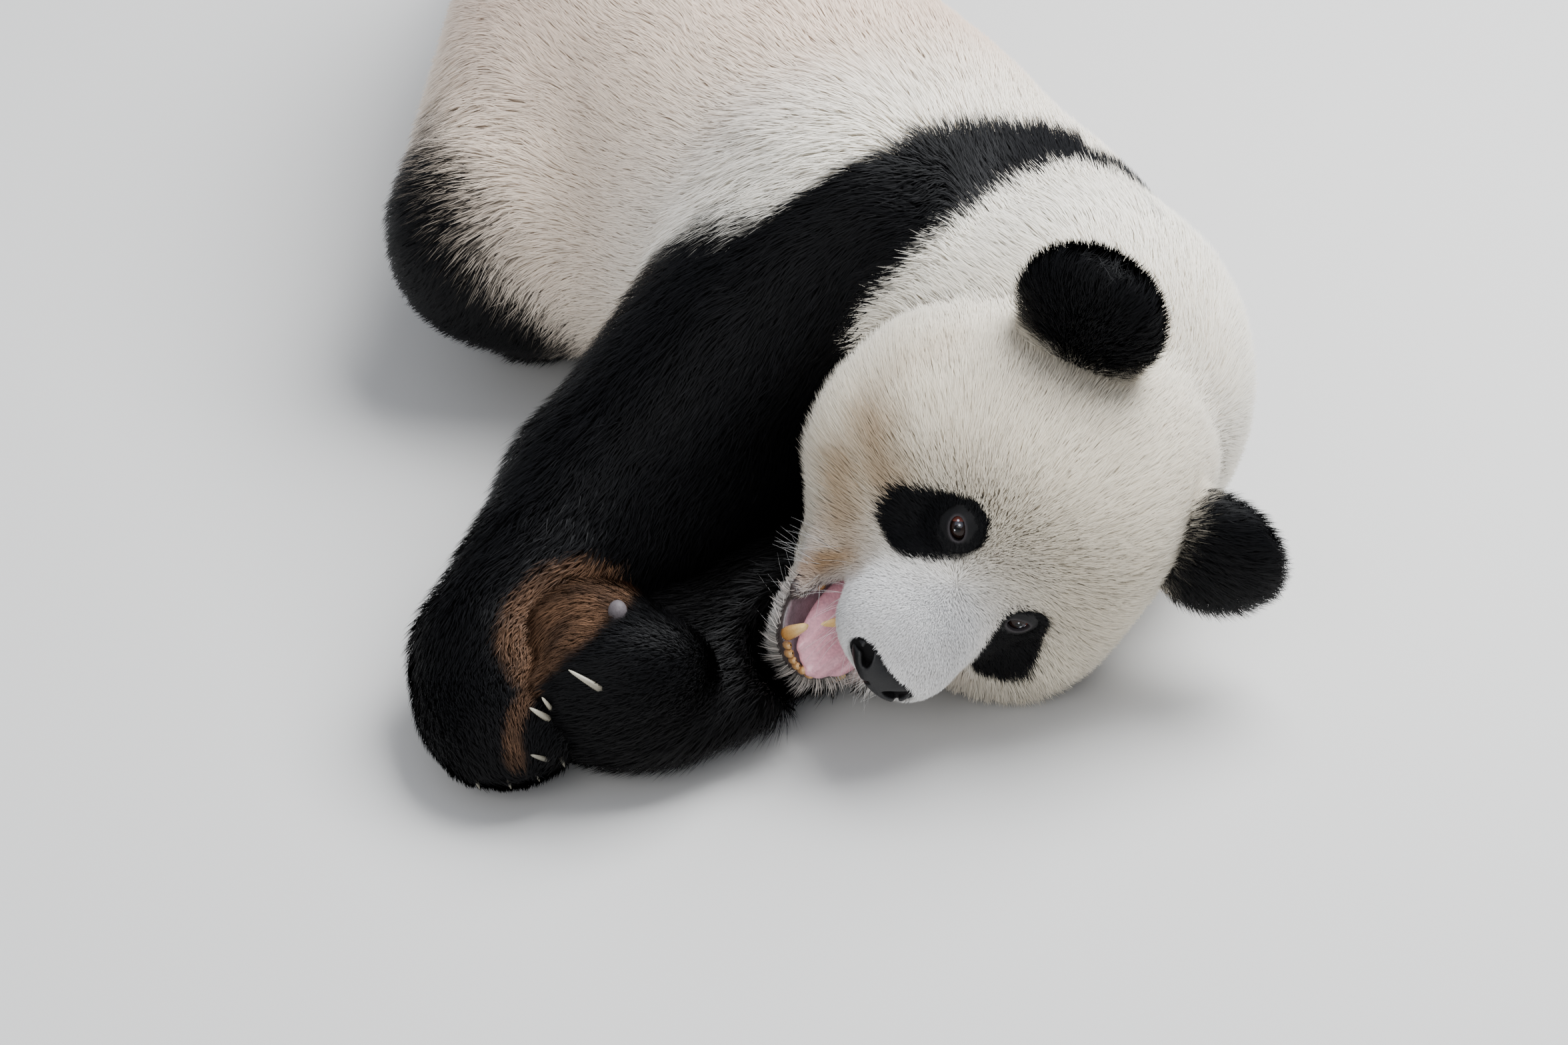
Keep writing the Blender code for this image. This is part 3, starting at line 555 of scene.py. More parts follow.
def coat_colour(p, q, d, lot, lot2):
    """Colour of the coat at each place; lot and lot2 are random numbers that settle single tufts."""
    s, soft = blackness(p, q, d)
    s = s + 0.0012 * noise(p, 0.006, 5)
    dark = ease(s / soft + (lot - 0.5) * 1.5, -1, 1)
    w = nearness(d, 0.03)
    head = w["head"] + w["jaw"] + w["ear_r"] + w["ear_l"]
    white = np.outer(np.ones(len(p)), lin(221, 210, 188))
    body = lin(238, 220, 199) * np.ones((len(p), 3))
    pink = 0.75 * ease(0.7 * noise(p, 0.16, 9) + (p[:, 1] - 0.45) * 0.5 + (p[:, 2] - 0.30) * 2.4 + 0.16, -0.4, 1.3)[:, None]
    body = body * (1 - pink) + lin(230, 196, 172) * pink
    cream = ease(p[:, 1], 0.16, 0.40)[:, None]
    body = lin(251, 245, 235) * (1 - cream) + body * cream
    near_band = (1 - ease(-((p - TRUNK_SIDE[0]) @ TRUNK_SIDE[1]), 0.0, 0.16))[:, None]
    body = body * (1 - 0.7 * near_band) + lin(251, 245, 230) * 0.7 * near_band
    white = white * head[:, None] + body * (1 - head[:, None])
    # The muzzle is painted whiter and brighter than the cream of the head: partly its own colour, partly painted light
    # where the light falls on it.
    muzzle = ease(-q[:, 1], 0.12, 0.18)[:, None] * head[:, None]
    white = white * (1 - muzzle) + lin(250, 249, 248) * muzzle
    tan = np.zeros(len(p))
    for a, b, near, far, much in TANS:
        tan = np.maximum(tan, much * (1 - ease(cone(q, a, b, 0, 0), near, far)))
    tan = (np.clip(tan + 0.10 * noise(p, 0.012, 3), 0, 1) * head)[:, None]
    white = white * (1 - tan) + lin(156, 122, 80) * tan
    lips = (1 - ease(np.abs(mouth_plane(q)), 0.004, 0.020))[:, None] * (w["jaw"] * ease(-q[:, 1], 0.10, 0.14))[:, None]
    white = white * (1 - 0.7 * lips) + lin(188, 158, 142) * 0.7 * lips
    # The fur round the lower lip is painted a darker pinkish brown: partly its own tint, partly painted shade low on
    # the jaw.
    chin = (w["jaw"] * (1 - ease(mouth_hollow(q), 0.014, 0.030)))[:, None]
    white = white * (1 - 0.85 * chin) + lin(146, 116, 98) * 0.85 * chin
    white = white * (0.92 + 0.13 * lot2)[:, None]
    black = lin(7, 7, 9) * np.ones((len(p), 3))
    left = (w["arm_l"] * 0.8)[:, None]
    black = black * (1 - left) + lin(13, 11, 10) * left
    black = black * (0.65 + 0.7 * lot2)[:, None]
    palm = palm_amount(p) * (w["forepaw_left"] + w["arm_l"] + w["arm_r"] + w["forepaw_right"]) * np.clip(0.75 + 0.45 * noise(p, 0.016, 13), 0, 1)
    black = black * (1 - palm)[:, None] + lin(104, 76, 56) * palm[:, None] * (0.7 + 0.6 * lot2)[:, None]
    knee = ease(-np.linalg.norm((p - ELBOW) / np.array([0.030, 0.085, 0.060]), axis=1), -1.3, -0.5) * (lot > 0.35)
    black = black * (1 - knee)[:, None] + lin(62, 40, 28) * knee[:, None] * (0.7 + 0.6 * lot2)[:, None]
    dark = dark[:, None]
    return white * (1 - dark) + black * dark, dark[:, 0]


# ---------------------------------------------------------------- the lie of the coat
def cone_flow(p, joints):
    """Direction down a limb, at each place."""
    out, best = np.zeros_like(p), np.full(len(p), 1e9)
    for a, b in zip(joints[:-1], joints[1:]):
        dist = cone(p, a[:3], b[:3], a[3], b[3])
        way = unit(np.array(b[:3]) - np.array(a[:3]))
        w = np.exp(-np.clip(dist / 0.03, -8, 40))
        out += w[:, None] * way
    return rows(out)


def flow(p, q, d, normal):
    w = nearness(d, 0.016)
    out = np.zeros_like(p)

    def add(k, way):
        nonlocal out
        out = out + w[k][:, None] * way

    away = rows(q - WHORL + np.array([0, 0.0, 0.0]))
    back = ease(q[:, 1], -0.06, 0.08)[:, None]
    away = rows(away * (1 - 0.6 * back) + np.array([0, 0.75, -0.35]) * 0.6 * back)
    add("head", away @ HEAD_R.T)
    chin = rows(np.stack([q[:, 0] * 2 + 0.02, -0.15 + 0 * q[:, 1], -0.5 + 0 * q[:, 2]], 1))
    chin = rows(np.stack([q[:, 0] * 3.0, 0.10 + 0 * q[:, 1], -0.16 + 0 * q[:, 2]], 1))
    add("jaw", chin @ HEAD_R.T)
    for k, c in (("ear_r", EARS[-1]), ("ear_l", EARS[1])):
        side = -1 if k == "ear_r" else 1
        base = np.array(c) - np.array([side * 0.72, 0, 0.69]) * 0.055
        add(k, rows(q - base) @ HEAD_R.T)
    along = np.stack([-0.55 + 0.62 * ease(p[:, 1], 0.15, 0.75) + 0 * p[:, 0], 0.86 + 0 * p[:, 1], 0 * p[:, 2]], 1)
    belly = np.array([-0.45, 0.0, -0.25])
    add("torso", rows(along + belly * 0.55))
    add("tail", np.array([0.2, 0.95, -0.35]) + 0 * p)
    for k, joints in (("arm_r", ARM_RIGHT), ("arm_l", ARM_LEFT), ("leg_r", LEG_RIGHT), ("leg_l", LEG_LEFT)):
        add(k, cone_flow(p, joints) + np.array([0, 0, -0.25]))
    for k, paw in PAWS.items():
        a, ww, n = paw_frame(paw)
        add(k, a + 0 * p)
    bend = np.stack([noise(p, 0.045, 21), noise(p, 0.045, 22), noise(p, 0.045, 23)], 1) * 0.30
    bend += np.stack([noise(p, 0.014, 31), noise(p, 0.014, 32), noise(p, 0.014, 33)], 1) * 0.16
    out = rows(out) + bend * (1 - 0.55 * (w["head"] + w["jaw"]))[:, None]
    out = out - normal * (out * normal).sum(1)[:, None]
    return rows(out)


# ---------------------------------------------------------------- materials
def new_material(name, colour=(0.5, 0.5, 0.5), rough=0.6, **more):
    m = bpy.data.materials.new(name)
    m.use_nodes = True
    b = m.node_tree.nodes["Principled BSDF"]
    b.inputs["Base Color"].default_value = (*colour, 1)
    b.inputs["Roughness"].default_value = rough
    for k, v in more.items():
        b.inputs[k.replace("_", " ")].default_value = v
    return m, m.node_tree, b


def node(tree, kind, **inputs):
    n = tree.nodes.new(kind)
    for k, v in inputs.items():
        n.inputs[k.replace("_", " ")].default_value = v
    return n


def painted(name, rough, bump, scale, dim=1.0, stretch=0.12, **more):
    """A material that takes its colour from the painted attribute, with fine variation and bump."""
    m, t, b = new_material(name, rough=rough, **more)
    colour = t.nodes.new("ShaderNodeVertexColor")
    colour.layer_name = "coat"
    where = t.nodes.new("ShaderNodeNewGeometry")
    noise_ = node(t, "ShaderNodeTexNoise", Scale=scale, Detail=3.0)
    t.links.new(where.outputs["Position"], noise_.inputs["Vector"])
    vary = node(t, "ShaderNodeMapRange", To_Min=dim * (1 - stretch), To_Max=dim * (1 + stretch))
    vary.inputs["From Min"].default_value, vary.inputs["From Max"].default_value = 0.3, 0.7
    t.links.new(noise_.outputs["Fac"], vary.inputs["Value"])
    mix = t.nodes.new("ShaderNodeVectorMath")
    mix.operation = "SCALE"
    t.links.new(colour.outputs["Color"], mix.inputs[0])
    t.links.new(vary.outputs["Result"], mix.inputs["Scale"])
    t.links.new(mix.outputs["Vector"], b.inputs["Base Color"])
    if bump:
        bp = node(t, "ShaderNodeBump", Strength=0.5, Distance=bump)
        t.links.new(noise_.outputs["Fac"], bp.inputs["Height"])
        t.links.new(bp.outputs["Normal"], b.inputs["Normal"])
    return m


M_SKIN = painted("skin", 0.80, 0.0010, 420, 1.0, Specular_IOR_Level=0.15)
M_WHITE = painted("coat white", 0.75, 0.0, 60, 1.0, 0.04, Specular_IOR_Level=0.20, Sheen_Weight=0.15, Sheen_Roughness=0.5)
M_BLACK = painted("coat black", 0.52, 0.0, 60, 1.0, 0.15, Specular_IOR_Level=0.12, Sheen_Weight=0.0)
M_BARE = painted("bare skin", 0.50, 0.0005, 900, 1.0, 0.15, Specular_IOR_Level=0.22)
M_WET = painted("wet flesh", 0.22, 0.0007, 500, 1.0, 0.12, Specular_IOR_Level=0.55, Coat_Weight=0.5, Coat_Roughness=0.12)
M_TOOTH = painted("tooth", 0.25, 0.0002, 700, 1.0, 0.10, Specular_IOR_Level=0.5, Coat_Weight=0.3)
M_CLAW = painted("claw", 0.35, 0.0002, 500, 1.0, 0.12)
M_WHISKER, _, _ = new_material("whisker", (0.75, 0.74, 0.72), 0.4)
M_EYE = painted("eyeball", 0.05, 0.0, 900, 1.0, 0.08, Specular_IOR_Level=0.20, Coat_Weight=0.04, Coat_Roughness=0.03)
M_NOSE = painted("nose", 0.46, 0.0005, 800, 1.0, 0.2, Specular_IOR_Level=0.38, Coat_Weight=0.05, Coat_Roughness=0.35)


# ---------------------------------------------------------------- places without fur
EYE_AXES = {}
for label, s in (("right", -1), ("left", 1)):
    out = unit((s * 0.36, -0.90, 0.26)) if s < 0 else unit((0.36, -0.90, 0.26))
    corner = unit((0.0194, -0.0097, -0.0074)) if s < 0 else unit((-0.0194, -0.0097, -0.0074))
    corner = unit(corner - out * (corner @ out))
    EYE_AXES[label] = (out, corner, np.cross(out, corner))


def opening(q, label):
    """Lens-shaped gap between the lids: distance inward negative, and how far out along the gaze."""
    out, along, across = EYE_AXES[label]
    r = q - np.array(EYES[label])
    u, v, w = r @ along, r @ across, r @ out
    half, high = 0.0108, 0.0070
    k = np.hypot(u / half, v / high) + 1e-9
    lens = k * (k - 1) / (np.hypot(u / half ** 2, v / high ** 2) + 1e-9)
    return lens, w


def nose_solid(q):
    """The nose pad with its nostrils filled."""
    m = q - np.array(NOSE)
    d = ball(m, (0, 0, 0.000), NOSE_SIZE)
    return join(d, ball(np.stack([np.abs(m[:, 0]), m[:, 1], m[:, 2]], 1), (0.0195, 0.003, 0.004), (0.0165, 0.0175, 0.0130)), 0.008)


def nose_field(q):
    c = np.array(NOSE)
    m = q - c
    d = nose_solid(q)
    slot = np.stack([np.abs(m[:, 0]), m[:, 1], m[:, 2]], 1)
    hole = ball(slot, (0.0225, -0.0125, 0.0065), (0.0115, 0.013, 0.0050), turned((0.83, 0.0, 0.56)))
    hole = join(hole, ball(slot, (0.0300, -0.0070, 0.0005), (0.0075, 0.010, 0.0022), turned((0.8, 0.45, -0.65))), 0.003)
    d = carve(d, hole, 0.003)
    groove = np.maximum(np.abs(m[:, 0]) - 0.0005, m[:, 2] + 0.004)
    return carve(d, groove, 0.0035)


def bare_amount(p, q, d):
    """1 where the skin shows without fur, 0 where the coat grows."""
    out = np.zeros(len(p))
    for label in EYES:
        lens, w = opening(q, label)
        out = np.maximum(out, (w > 0) * (1 - ease(lens, 0.0026, 0.0036)))
    inside = mouth_hollow(q)
    out = np.maximum(out, 1 - ease(inside, 0.0035, 0.0055))
    rim = np.abs(mouth_plane(q) + 0.001)
    lip = (1 - ease(rim, 0.006, 0.010)) * (1 - ease(inside, 0.0115, 0.0145)) * (q[:, 1] < -0.10)
    out = np.maximum(out, lip)
    out = np.maximum(out, 1 - ease(nose_solid(q), 0.0020, 0.0036))
    return out


def main_skin(p):
    d, q = part_distances(p)
    s = outer_of(d) + coat_depth(d, q)
    s = carve(s, mouth_hollow(q), 0.005)
    for label in EYES:
        s = np.maximum(s, -(np.linalg.norm(q - np.array(EYES[label]), axis=1) - EYE_R - 0.0045))
    return np.maximum(s, 0.0015 - p[:, 2])


# ---------------------------------------------------------------- the skin
AXES = [axis_steps(-0.600, 0.320, -0.13, 0.235, 0.0034, 0.0095), axis_steps(-0.310, 1.290, -0.215, 0.15, 0.0034, 0.0095),
        axis_steps(-0.010, 0.450, 0.015, 0.385, 0.0036, 0.0095)]
points, quads = surface(main_skin, AXES, 1)
_, g = slope(skin_field, points)
normals = rows(g)
d, q = part_distances(points)
colour, dark = coat_colour(points, q, d, np.full(len(points), 0.5), np.full(len(points), 0.6))
bare = bare_amount(points, q, d)
inner = 1 - ease(mouth_hollow(q), -0.001, 0.003)
flesh = np.where((inner > 0.5)[:, None], lin(120, 70, 72), lin(74, 64, 60))
flesh = np.where((nose_solid(q) < 0.006)[:, None], lin(8, 7, 8), flesh)
w_head = nearness(d, 0.014)
w_head = (w_head["head"] + w_head["jaw"]) * ease(-q[:, 1], -0.05, 0.03)
# Painted shade: the skin under the coat is darker than the coat, more on the head and under the black fur, standing in
# for the shade beneath the hairs.
shade_under_coat = (0.94 - 0.22 * w_head) * (1 - dark) + 0.6 * dark
skin_colour = colour * (shade_under_coat * (1 - bare))[:, None] + flesh * bare[:, None]
skin = mesh_object("skin", points, quads, M_SKIN)
paint(skin, skin_colour)
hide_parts("head", "lower_jaw", "neck", "trunk", "tail", "ear_right", "ear_left", "shoulders", "upper_arm_right", "forearm_right", "forepaw_right",
            "arm_left", "forepaw_left", "thigh_right", "shank_right", "hindpaw_right", "leg_left", "hindpaw_left")
print("skin", len(points), "points")


# ---------------------------------------------------------------- the coat
tri = np.concatenate([quads[:, [0, 1, 2]], quads[:, [0, 2, 3]]])
A = points[tri]
cross = np.cross(A[:, 1] - A[:, 0], A[:, 2] - A[:, 0])
area = np.linalg.norm(cross, axis=1) / 2
weights = nearness(d, 0.014)
lie = flow(points, q, d, normals)
depth = coat_depth(d, q)
head = weights["head"] + weights["jaw"]
ears = weights["ear_r"] + weights["ear_l"]
paws = sum(weights[k] for k in PAWS)
trunk = weights["torso"] + weights["tail"]
limbs = weights["arm_r"] + weights["arm_l"] + weights["leg_r"] + weights["leg_l"]
cheek = ease(np.abs(q[:, 0]), 0.075, 0.115)
face = ease(-q[:, 1], 0.05, 0.16) * weights["head"] * (1 - 0.75 * cheek)
snout = ease(-q[:, 1], 0.12, 0.19) * weights["head"]
eye_near = np.zeros(len(points))
for label in EYES:
    eye_near = np.maximum(eye_near, (1 - ease(np.linalg.norm(q - np.array(EYES[label]), axis=1), 0.018, 0.045)) * head)


def per_part(h, e, pw, tr, lm):
    return head * h + ears * e + paws * pw + trunk * tr + limbs * lm


length = per_part(0.0225, 0.0235, 0.0135, 0.0270, 0.0290)
length *= 1 + 0.9 * (1 - ease(np.linalg.norm(points - ELBOW, axis=1), 0.03, 0.09)) + 0.25 * weights["arm_l"]
length *= 1 - 0.50 * face - 0.30 * snout - 0.30 * eye_near
length += -0.004 * weights["jaw"] + 0.013 * cheek_fluff(q) * weights["head"]
width = per_part(0.00092, 0.0009, 0.0011, 0.00125, 0.0014) * (1 - 0.22 * face - 0.2 * snout - 0.15 * eye_near)
dense = per_part(1.65, 2.2, 1.2, 0.72, 0.60) * (1 + 0.7 * face + 1.3 * snout + 0.5 * eye_near)
hidden = (points[:, 2] < 0.003)
dense = np.where(hidden | (bare > 0.5), 0, dense)
under = ease(-normals[:, 2], 0.3, 0.8) * (1 - ease(points[:, 2], 0.05, 0.12))
dense *= 1 - 0.5 * under

TOTAL = 470000
chance = area * dense[tri].mean(1)
total = chance.cumsum()
picks = np.searchsorted(total, (np.arange(TOTAL) + rng.random(TOTAL)) / TOTAL * total[-1])
picks = np.minimum(picks, len(tri) - 1)
u, v = rng.random(TOTAL), rng.random(TOTAL)
over = u + v > 1
u[over], v[over] = 1 - u[over], 1 - v[over]
bary = np.stack([1 - u - v, u, v], 1)


def blend(values):
    t = values[tri[picks]]
    return (t * (bary[:, :, None] if t.ndim == 3 else bary)).sum(1)


roots, up = blend(points), rows(blend(normals))
way = blend(lie)
way = rows(way - up * (way * up).sum(1)[:, None])
L, W, H = blend(length), blend(width), blend(depth)
lot, lot2, lot3, lot4 = rng.random((4, TOTAL))
dt, qt = part_distances(roots)
seen = roots + way * (0.55 * L)[:, None] + up * (0.7 * H)[:, None]
ds, qs = part_distances(seen)
tip_colour, dark = coat_colour(seen, qs, ds, lot, lot2)
keep = bare_amount(roots, qt, dt) < 0.5 * (0.6 + 0.8 * lot3)
keep &= (mouth_hollow(qs) > 0.002 + 0.003 * lot3) & (nose_solid(qs) > 0.0005)
for_head = blend(head + ears)

# locks: the tips of neighbouring tufts draw together
near_snout, near_paw = blend(snout), blend(paws)
cell = np.where(for_head > 0.5, 0.0065 - 0.0030 * near_snout, 0.0150 - 0.007 * near_paw)
key = np.floor(roots / cell[:, None] + 0.35 * np.stack([noise(roots, 0.02, 41), noise(roots, 0.02, 42), noise(roots, 0.02, 43)], 1)).astype(np.int64)
jit = np.stack([hash3(key[:, 0], key[:, 1], key[:, 2], s) for s in (1, 2, 3)], 1)
centre = (key + 0.2 + 0.6 * jit) * cell[:, None]
pull = centre - roots
pull -= up * (pull * up).sum(1)[:, None]
lock = (hash3(key[:, 0], key[:, 1], key[:, 2], 7) - 0.5)
calm = blend(trunk)
strength = np.where(for_head > 0.5, 0.30 * (1 - 0.8 * near_snout), 0.28 - 0.17 * calm)

side = np.cross(way, up)
turn = rng.normal(0, 0.13, TOTAL) + lock * np.where(for_head > 0.5, 0.20, 0.18)
way = rows(way * np.cos(turn)[:, None] + side * np.sin(turn)[:, None])
side = np.cross(way, up)
L = L * (0.70 + 0.55 * lot3)
rise = np.clip(H * ((0.62 + 0.14 * calm) + (0.50 - 0.24 * calm) * lot4) * (1 + (0.30 - 0.20 * calm) * lock), 0, L * 0.85)
rise *= 1 + 0.45 * blend(ears)
a1 = np.arcsin(np.clip(rise / L * 1.35, 0, 0.96))
a2 = np.arcsin(np.clip(rise / L * 0.65, 0, 0.8))
mid = roots + (L * 0.5)[:, None] * (np.cos(a1)[:, None] * way + np.sin(a1)[:, None] * up) + pull * (strength * 0.4)[:, None]
tip = mid + (L * 0.5)[:, None] * (np.cos(a2)[:, None] * way + np.sin(a2)[:, None] * up) + pull * (strength * 0.6)[:, None]
base = roots - up * 0.0008
for a in (base, mid, tip):
    a[:, 2] = np.maximum(a[:, 2], 0.0006)
print("tufts", TOTAL, "kept", keep.sum())


def charts(roots_, normals_, part):
    """Flat places for the roots, 0 to 1: the skin parted by region and by the way it faces, each part laid out beside the others."""
    facing = np.abs(normals_).argmax(1)
    sign = np.take_along_axis(normals_, facing[:, None], 1)[:, 0] > 0
    chart = part * 6 + facing * 2 + sign
    uv = np.zeros((len(roots_), 2))
    rects = []
    for c in np.unique(chart):
        m = chart == c
        k = [i for i in range(3) if i != facing[m][0]]
        flat = roots_[m][:, k]
        lo = flat.min(0)
        uv[m] = flat - lo + 0.004
        rects.append((c, flat.max(0) - lo + 0.008))
    rects.sort(key=lambda r: -r[1][1])
    full = math.sqrt(sum(r[1][0] * r[1][1] for r in rects))
    for grow in np.arange(1.05, 3.0, 0.05):
        size, x, y, row, place = full * grow, 0, 0, 0, {}
        for c, (w, h) in rects:
            if x + w > size:
                x, y, row = 0, y + row, 0
            place[c] = (x, y)
            x, row = x + w, max(row, h)
        if y + row <= size and max(r[1][0] for r in rects) <= size:
            break
    start = np.array([place[c] for c in chart])
    return (uv + start) / size


names = list(dt)
part_of = np.stack([dt[k] for k in names], 1).argmin(1)


def coat_piece(name, chosen, material):
    i = np.nonzero(chosen & keep)[0]
    n = len(i)
    if n == 0:
        return
    b, m, t, s, w, nrm = base[i], mid[i], tip[i], side[i], W[i] * (0.8 + 0.5 * lot[i]), up[i]
    co = np.stack([b - s * (w * 0.45)[:, None], b + s * (w * 0.45)[:, None], m - s * (w * 0.40)[:, None], m + s * (w * 0.40)[:, None], t], 1).reshape(-1, 3)
    k = np.arange(n)[:, None] * 5
    faces = np.concatenate([k + np.array([0, 1, 3]), k + np.array([0, 3, 2]), k + np.array([2, 3, 4])])
    ob = mesh_object(name, co, faces, material, True)
    tone = tip_colour[i]
    light = (1 - dark[i])[:, None]
    # Painted shade: each tuft's root is darker and a little warmer, most on the head and snout, its middle a little
    # darker and its tip a little lighter, standing in for the shade between the hairs.
    root_shade = 0.95 - 0.25 * (for_head * ease(-qt[:, 1], -0.05, 0.03))[i][:, None] - 0.14 * near_snout[i][:, None]
    low = tone * (root_shade * light + 0.60 * (1 - light)) * np.array([1.0, 0.975, 0.94])
    half = tone * 0.94
    end = tone * (1.03 + 0.06 * lot4[i])[:, None]
    paint(ob, np.stack([low, low, half, half, end], 1).reshape(-1, 3))
    shade = rows(nrm + (0.10 - 0.04 * calm[i])[:, None] * rng.normal(0, 1, (n, 3)) + 0.12 * way[i])
    five = np.repeat(shade, 5, axis=0)
    five += np.tile(np.array([-0.18, 0.18, -0.18, 0.18, 0]), n)[:, None] * np.repeat(s, 5, axis=0)
    five = rows(five)
    ob.data.normals_split_custom_set_from_vertices(five.astype(np.float32))
    flat = charts(roots[i], nrm, part_of[i])
    patch = np.array([(-0.0013, -0.0015), (0.0013, -0.0015), (-0.0012, 0.0002), (0.0012, 0.0002), (0, 0.0015)])
    uv = (flat[:, None, :] + patch[None]).reshape(-1, 2)
    layer = ob.data.uv_layers.new(name="OFBake")
    layer.data.foreach_set("uv", np.clip(uv, 0, 1)[faces.ravel()].astype(np.float32).ravel())
    print(name, n, "tufts")


black = dark > 0.5
on_head = np.isin(part_of, [names.index(k) for k in ("head", "jaw", "ear_r", "ear_l")])
on_arm = np.isin(part_of, [names.index(k) for k in ("arm_r", "forepaw_right", "arm_l", "forepaw_left")])
on_leg = np.isin(part_of, [names.index(k) for k in ("leg_r", "leg_l", "hindpaw_right", "hindpaw_left")])
on_body = ~(on_head | on_arm | on_leg)
LIMIT = 65000
groups = [("coat_head", on_head & ~black, M_WHITE, "fur_white", qt[:, 1]), ("coat_face_black", on_head & black, M_BLACK, "fur_black", qt[:, 1]),
          ("coat_body", ~on_head & ~black, M_WHITE, "fur_white", roots[:, 1]), ("coat_body_black", ~on_head & ~on_leg & black, M_BLACK, "fur_black", roots[:, 1]),
          ("coat_leg_black", on_leg & black, M_BLACK, "fur_black", roots[:, 1])]
for name, chosen, material, slot, along in groups:
    count = int((chosen & keep).sum())
    parts = max(1, math.ceil(count / LIMIT))
    cuts = np.quantile(along[chosen & keep], np.linspace(0, 1, parts + 1)[1:-1]) if count else []
    which = np.searchsorted(cuts, along) if parts > 1 else np.zeros(TOTAL, int)
    for k in range(parts):
        coat_piece(f"{name}_{k + 1}" if parts > 1 else name, chosen & (which == k), material)


# ---------------------------------------------------------------- eyes
def head_normals(n):
    return n @ HEAD_R.T


def eyeball(label):
    out, along, across = EYE_AXES[label]
    rings, spokes = 56, 96
    pts, cols = [np.array(EYES[label]) + out * EYE_R], [lin(4, 3, 3)]
    for i in range(1, rings):
        a = math.pi * i / rings * 0.55
        r, z = math.sin(a) * EYE_R, math.cos(a) * EYE_R
        for k in range(spokes):
            t = 2 * math.pi * k / spokes
            pts.append(np.array(EYES[label]) + out * z + along * r * math.cos(t) + across * r * math.sin(t))
            deg = math.degrees(a)
            if deg < 15:
                c = lin(5, 4, 4)
            elif deg < 50:
                f = (deg - 15) / 35
                c = lin(34, 21, 16) * (1 - 0.6 * f) * (0.85 + 0.3 * hash3(np.int64(k), np.int64(3), np.int64(1)))
            elif deg < 56:
                c = lin(14, 10, 9)
            else:
                c = lin(92, 52, 44)
            here = np.array([math.sin(a) * math.cos(t), math.sin(a) * math.sin(t), math.cos(a)])
            # Painted reflection: a bluish-grey patch is added on the upper iris, standing in for the mirrored sky.
            if here @ unit((-0.34, 0.10, 1.0)) > 0.955 and deg > 16:
                c = c + lin(52, 58, 66)
            if here[0] < -0.50:
                c = lin(104, 58, 50)
            # Painted highlights: three small white catchlights are painted on the eyeball.
            for spot, wide in (((-0.30, 0.16, 1.0), 0.9975), ((0.10, -0.20, 1.0), 0.9985), ((-0.70, 0.02, 1.0), 0.9975)):
                if here @ unit(spot) > wide:
                    c = lin(222, 226, 232)
            cols.append(c)
    faces = [(0, 1 + k, 1 + (k + 1) % spokes, 1 + (k + 1) % spokes) for k in range(spokes)]
    tris = [(0, 1 + k, 1 + (k + 1) % spokes) for k in range(spokes)]
    for i in range(rings - 2):
        for k in range(spokes):
            a, b = 1 + i * spokes + k, 1 + i * spokes + (k + 1) % spokes
            c, e = a + spokes, b + spokes
            tris += [(a, c, e), (a, e, b)]
    ob = mesh_object("eyeball_" + label, from_head(np.array(pts)), np.array(tris), M_EYE)
    paint(ob, np.array(cols))
    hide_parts("eye_" + label)


def local_surface(name, fn, centre, reach, step, material, colour_fn, rounds=1):
    """A fine mesh of a head-space function, within a cube round a head-space point."""
    axes = [axis_steps(c - reach, c + reach, c - reach, c + reach, step, step) for c in centre]
    pts, qd = surface(fn, axes, rounds)
    ob = mesh_object(name, from_head(pts), qd, material)
    paint(ob, colour_fn(pts))
    return ob


def skin_in_head(q):
    return skin_field(from_head(q))


for label in EYES:
    eyeball(label)
    out, along, across = EYE_AXES[label]
    c = np.array(EYES[label])

    def lids(q_, label=label, c=c):
        s = skin_in_head(q_) - 0.0003
        away = np.linalg.norm(q_ - c, axis=1)
        s = join(s, away - EYE_R - 0.0021, 0.006)
        lens, w = opening(q_, label)
        s = carve(s, np.maximum(lens, -w), 0.0012)
        s = np.maximum(s, -(away - EYE_R - 0.0002))
        return np.maximum(s, np.linalg.norm(q_ - c - EYE_AXES[label][0] * 0.006, axis=1) - 0.0225)

    def lid_colour(pts, label=label):
        lens, w = opening(pts, label)
        n1 = noise(pts, 0.002, 77)
        rim = (1 - ease(lens, 0.0002, 0.0032))[:, None]
        tone = (lin(12, 11, 12) * (1 - rim) + lin(52, 48, 50) * rim) * (1 + 0.15 * n1)[:, None]
        return tone

    lid = local_surface("lids_" + label, lids, c + out * 0.006, 0.0235, 0.0008, M_BARE, lid_colour)


# ---------------------------------------------------------------- nose
def nose_colour(pts):
    grain = noise(pts, 0.0016, 51) * 0.25
    return lin(13, 12, 13) * (1 + grain)[:, None]


nose = local_surface("nose_pad", lambda q_: np.maximum(nose_field(q_), q_[:, 1] - NOSE[1] - 0.012), NOSE, 0.046, 0.0010, M_NOSE, nose_colour)
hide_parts("nose")


# ---------------------------------------------------------------- mouth
def tongue_field(q_):
    edge = 0.0022 * np.sin(q_[:, 0] * 210 + 0.6) + 0.0008 * np.sin(q_[:, 0] * 520 + 1)
    d_ = ball(q_ + np.stack([0 * edge, edge, 0 * edge], 1), (-0.004, -0.1535, -0.1268), (0.0585, 0.037, 0.0125), turned((0, -1, -0.42)))
    groove = np.hypot(q_[:, 0] + 0.004, (q_[:, 2] + 0.1128 - (q_[:, 1] + 0.15) * 0.42)) - 0.0012
    return carve(d_, groove, 0.006)


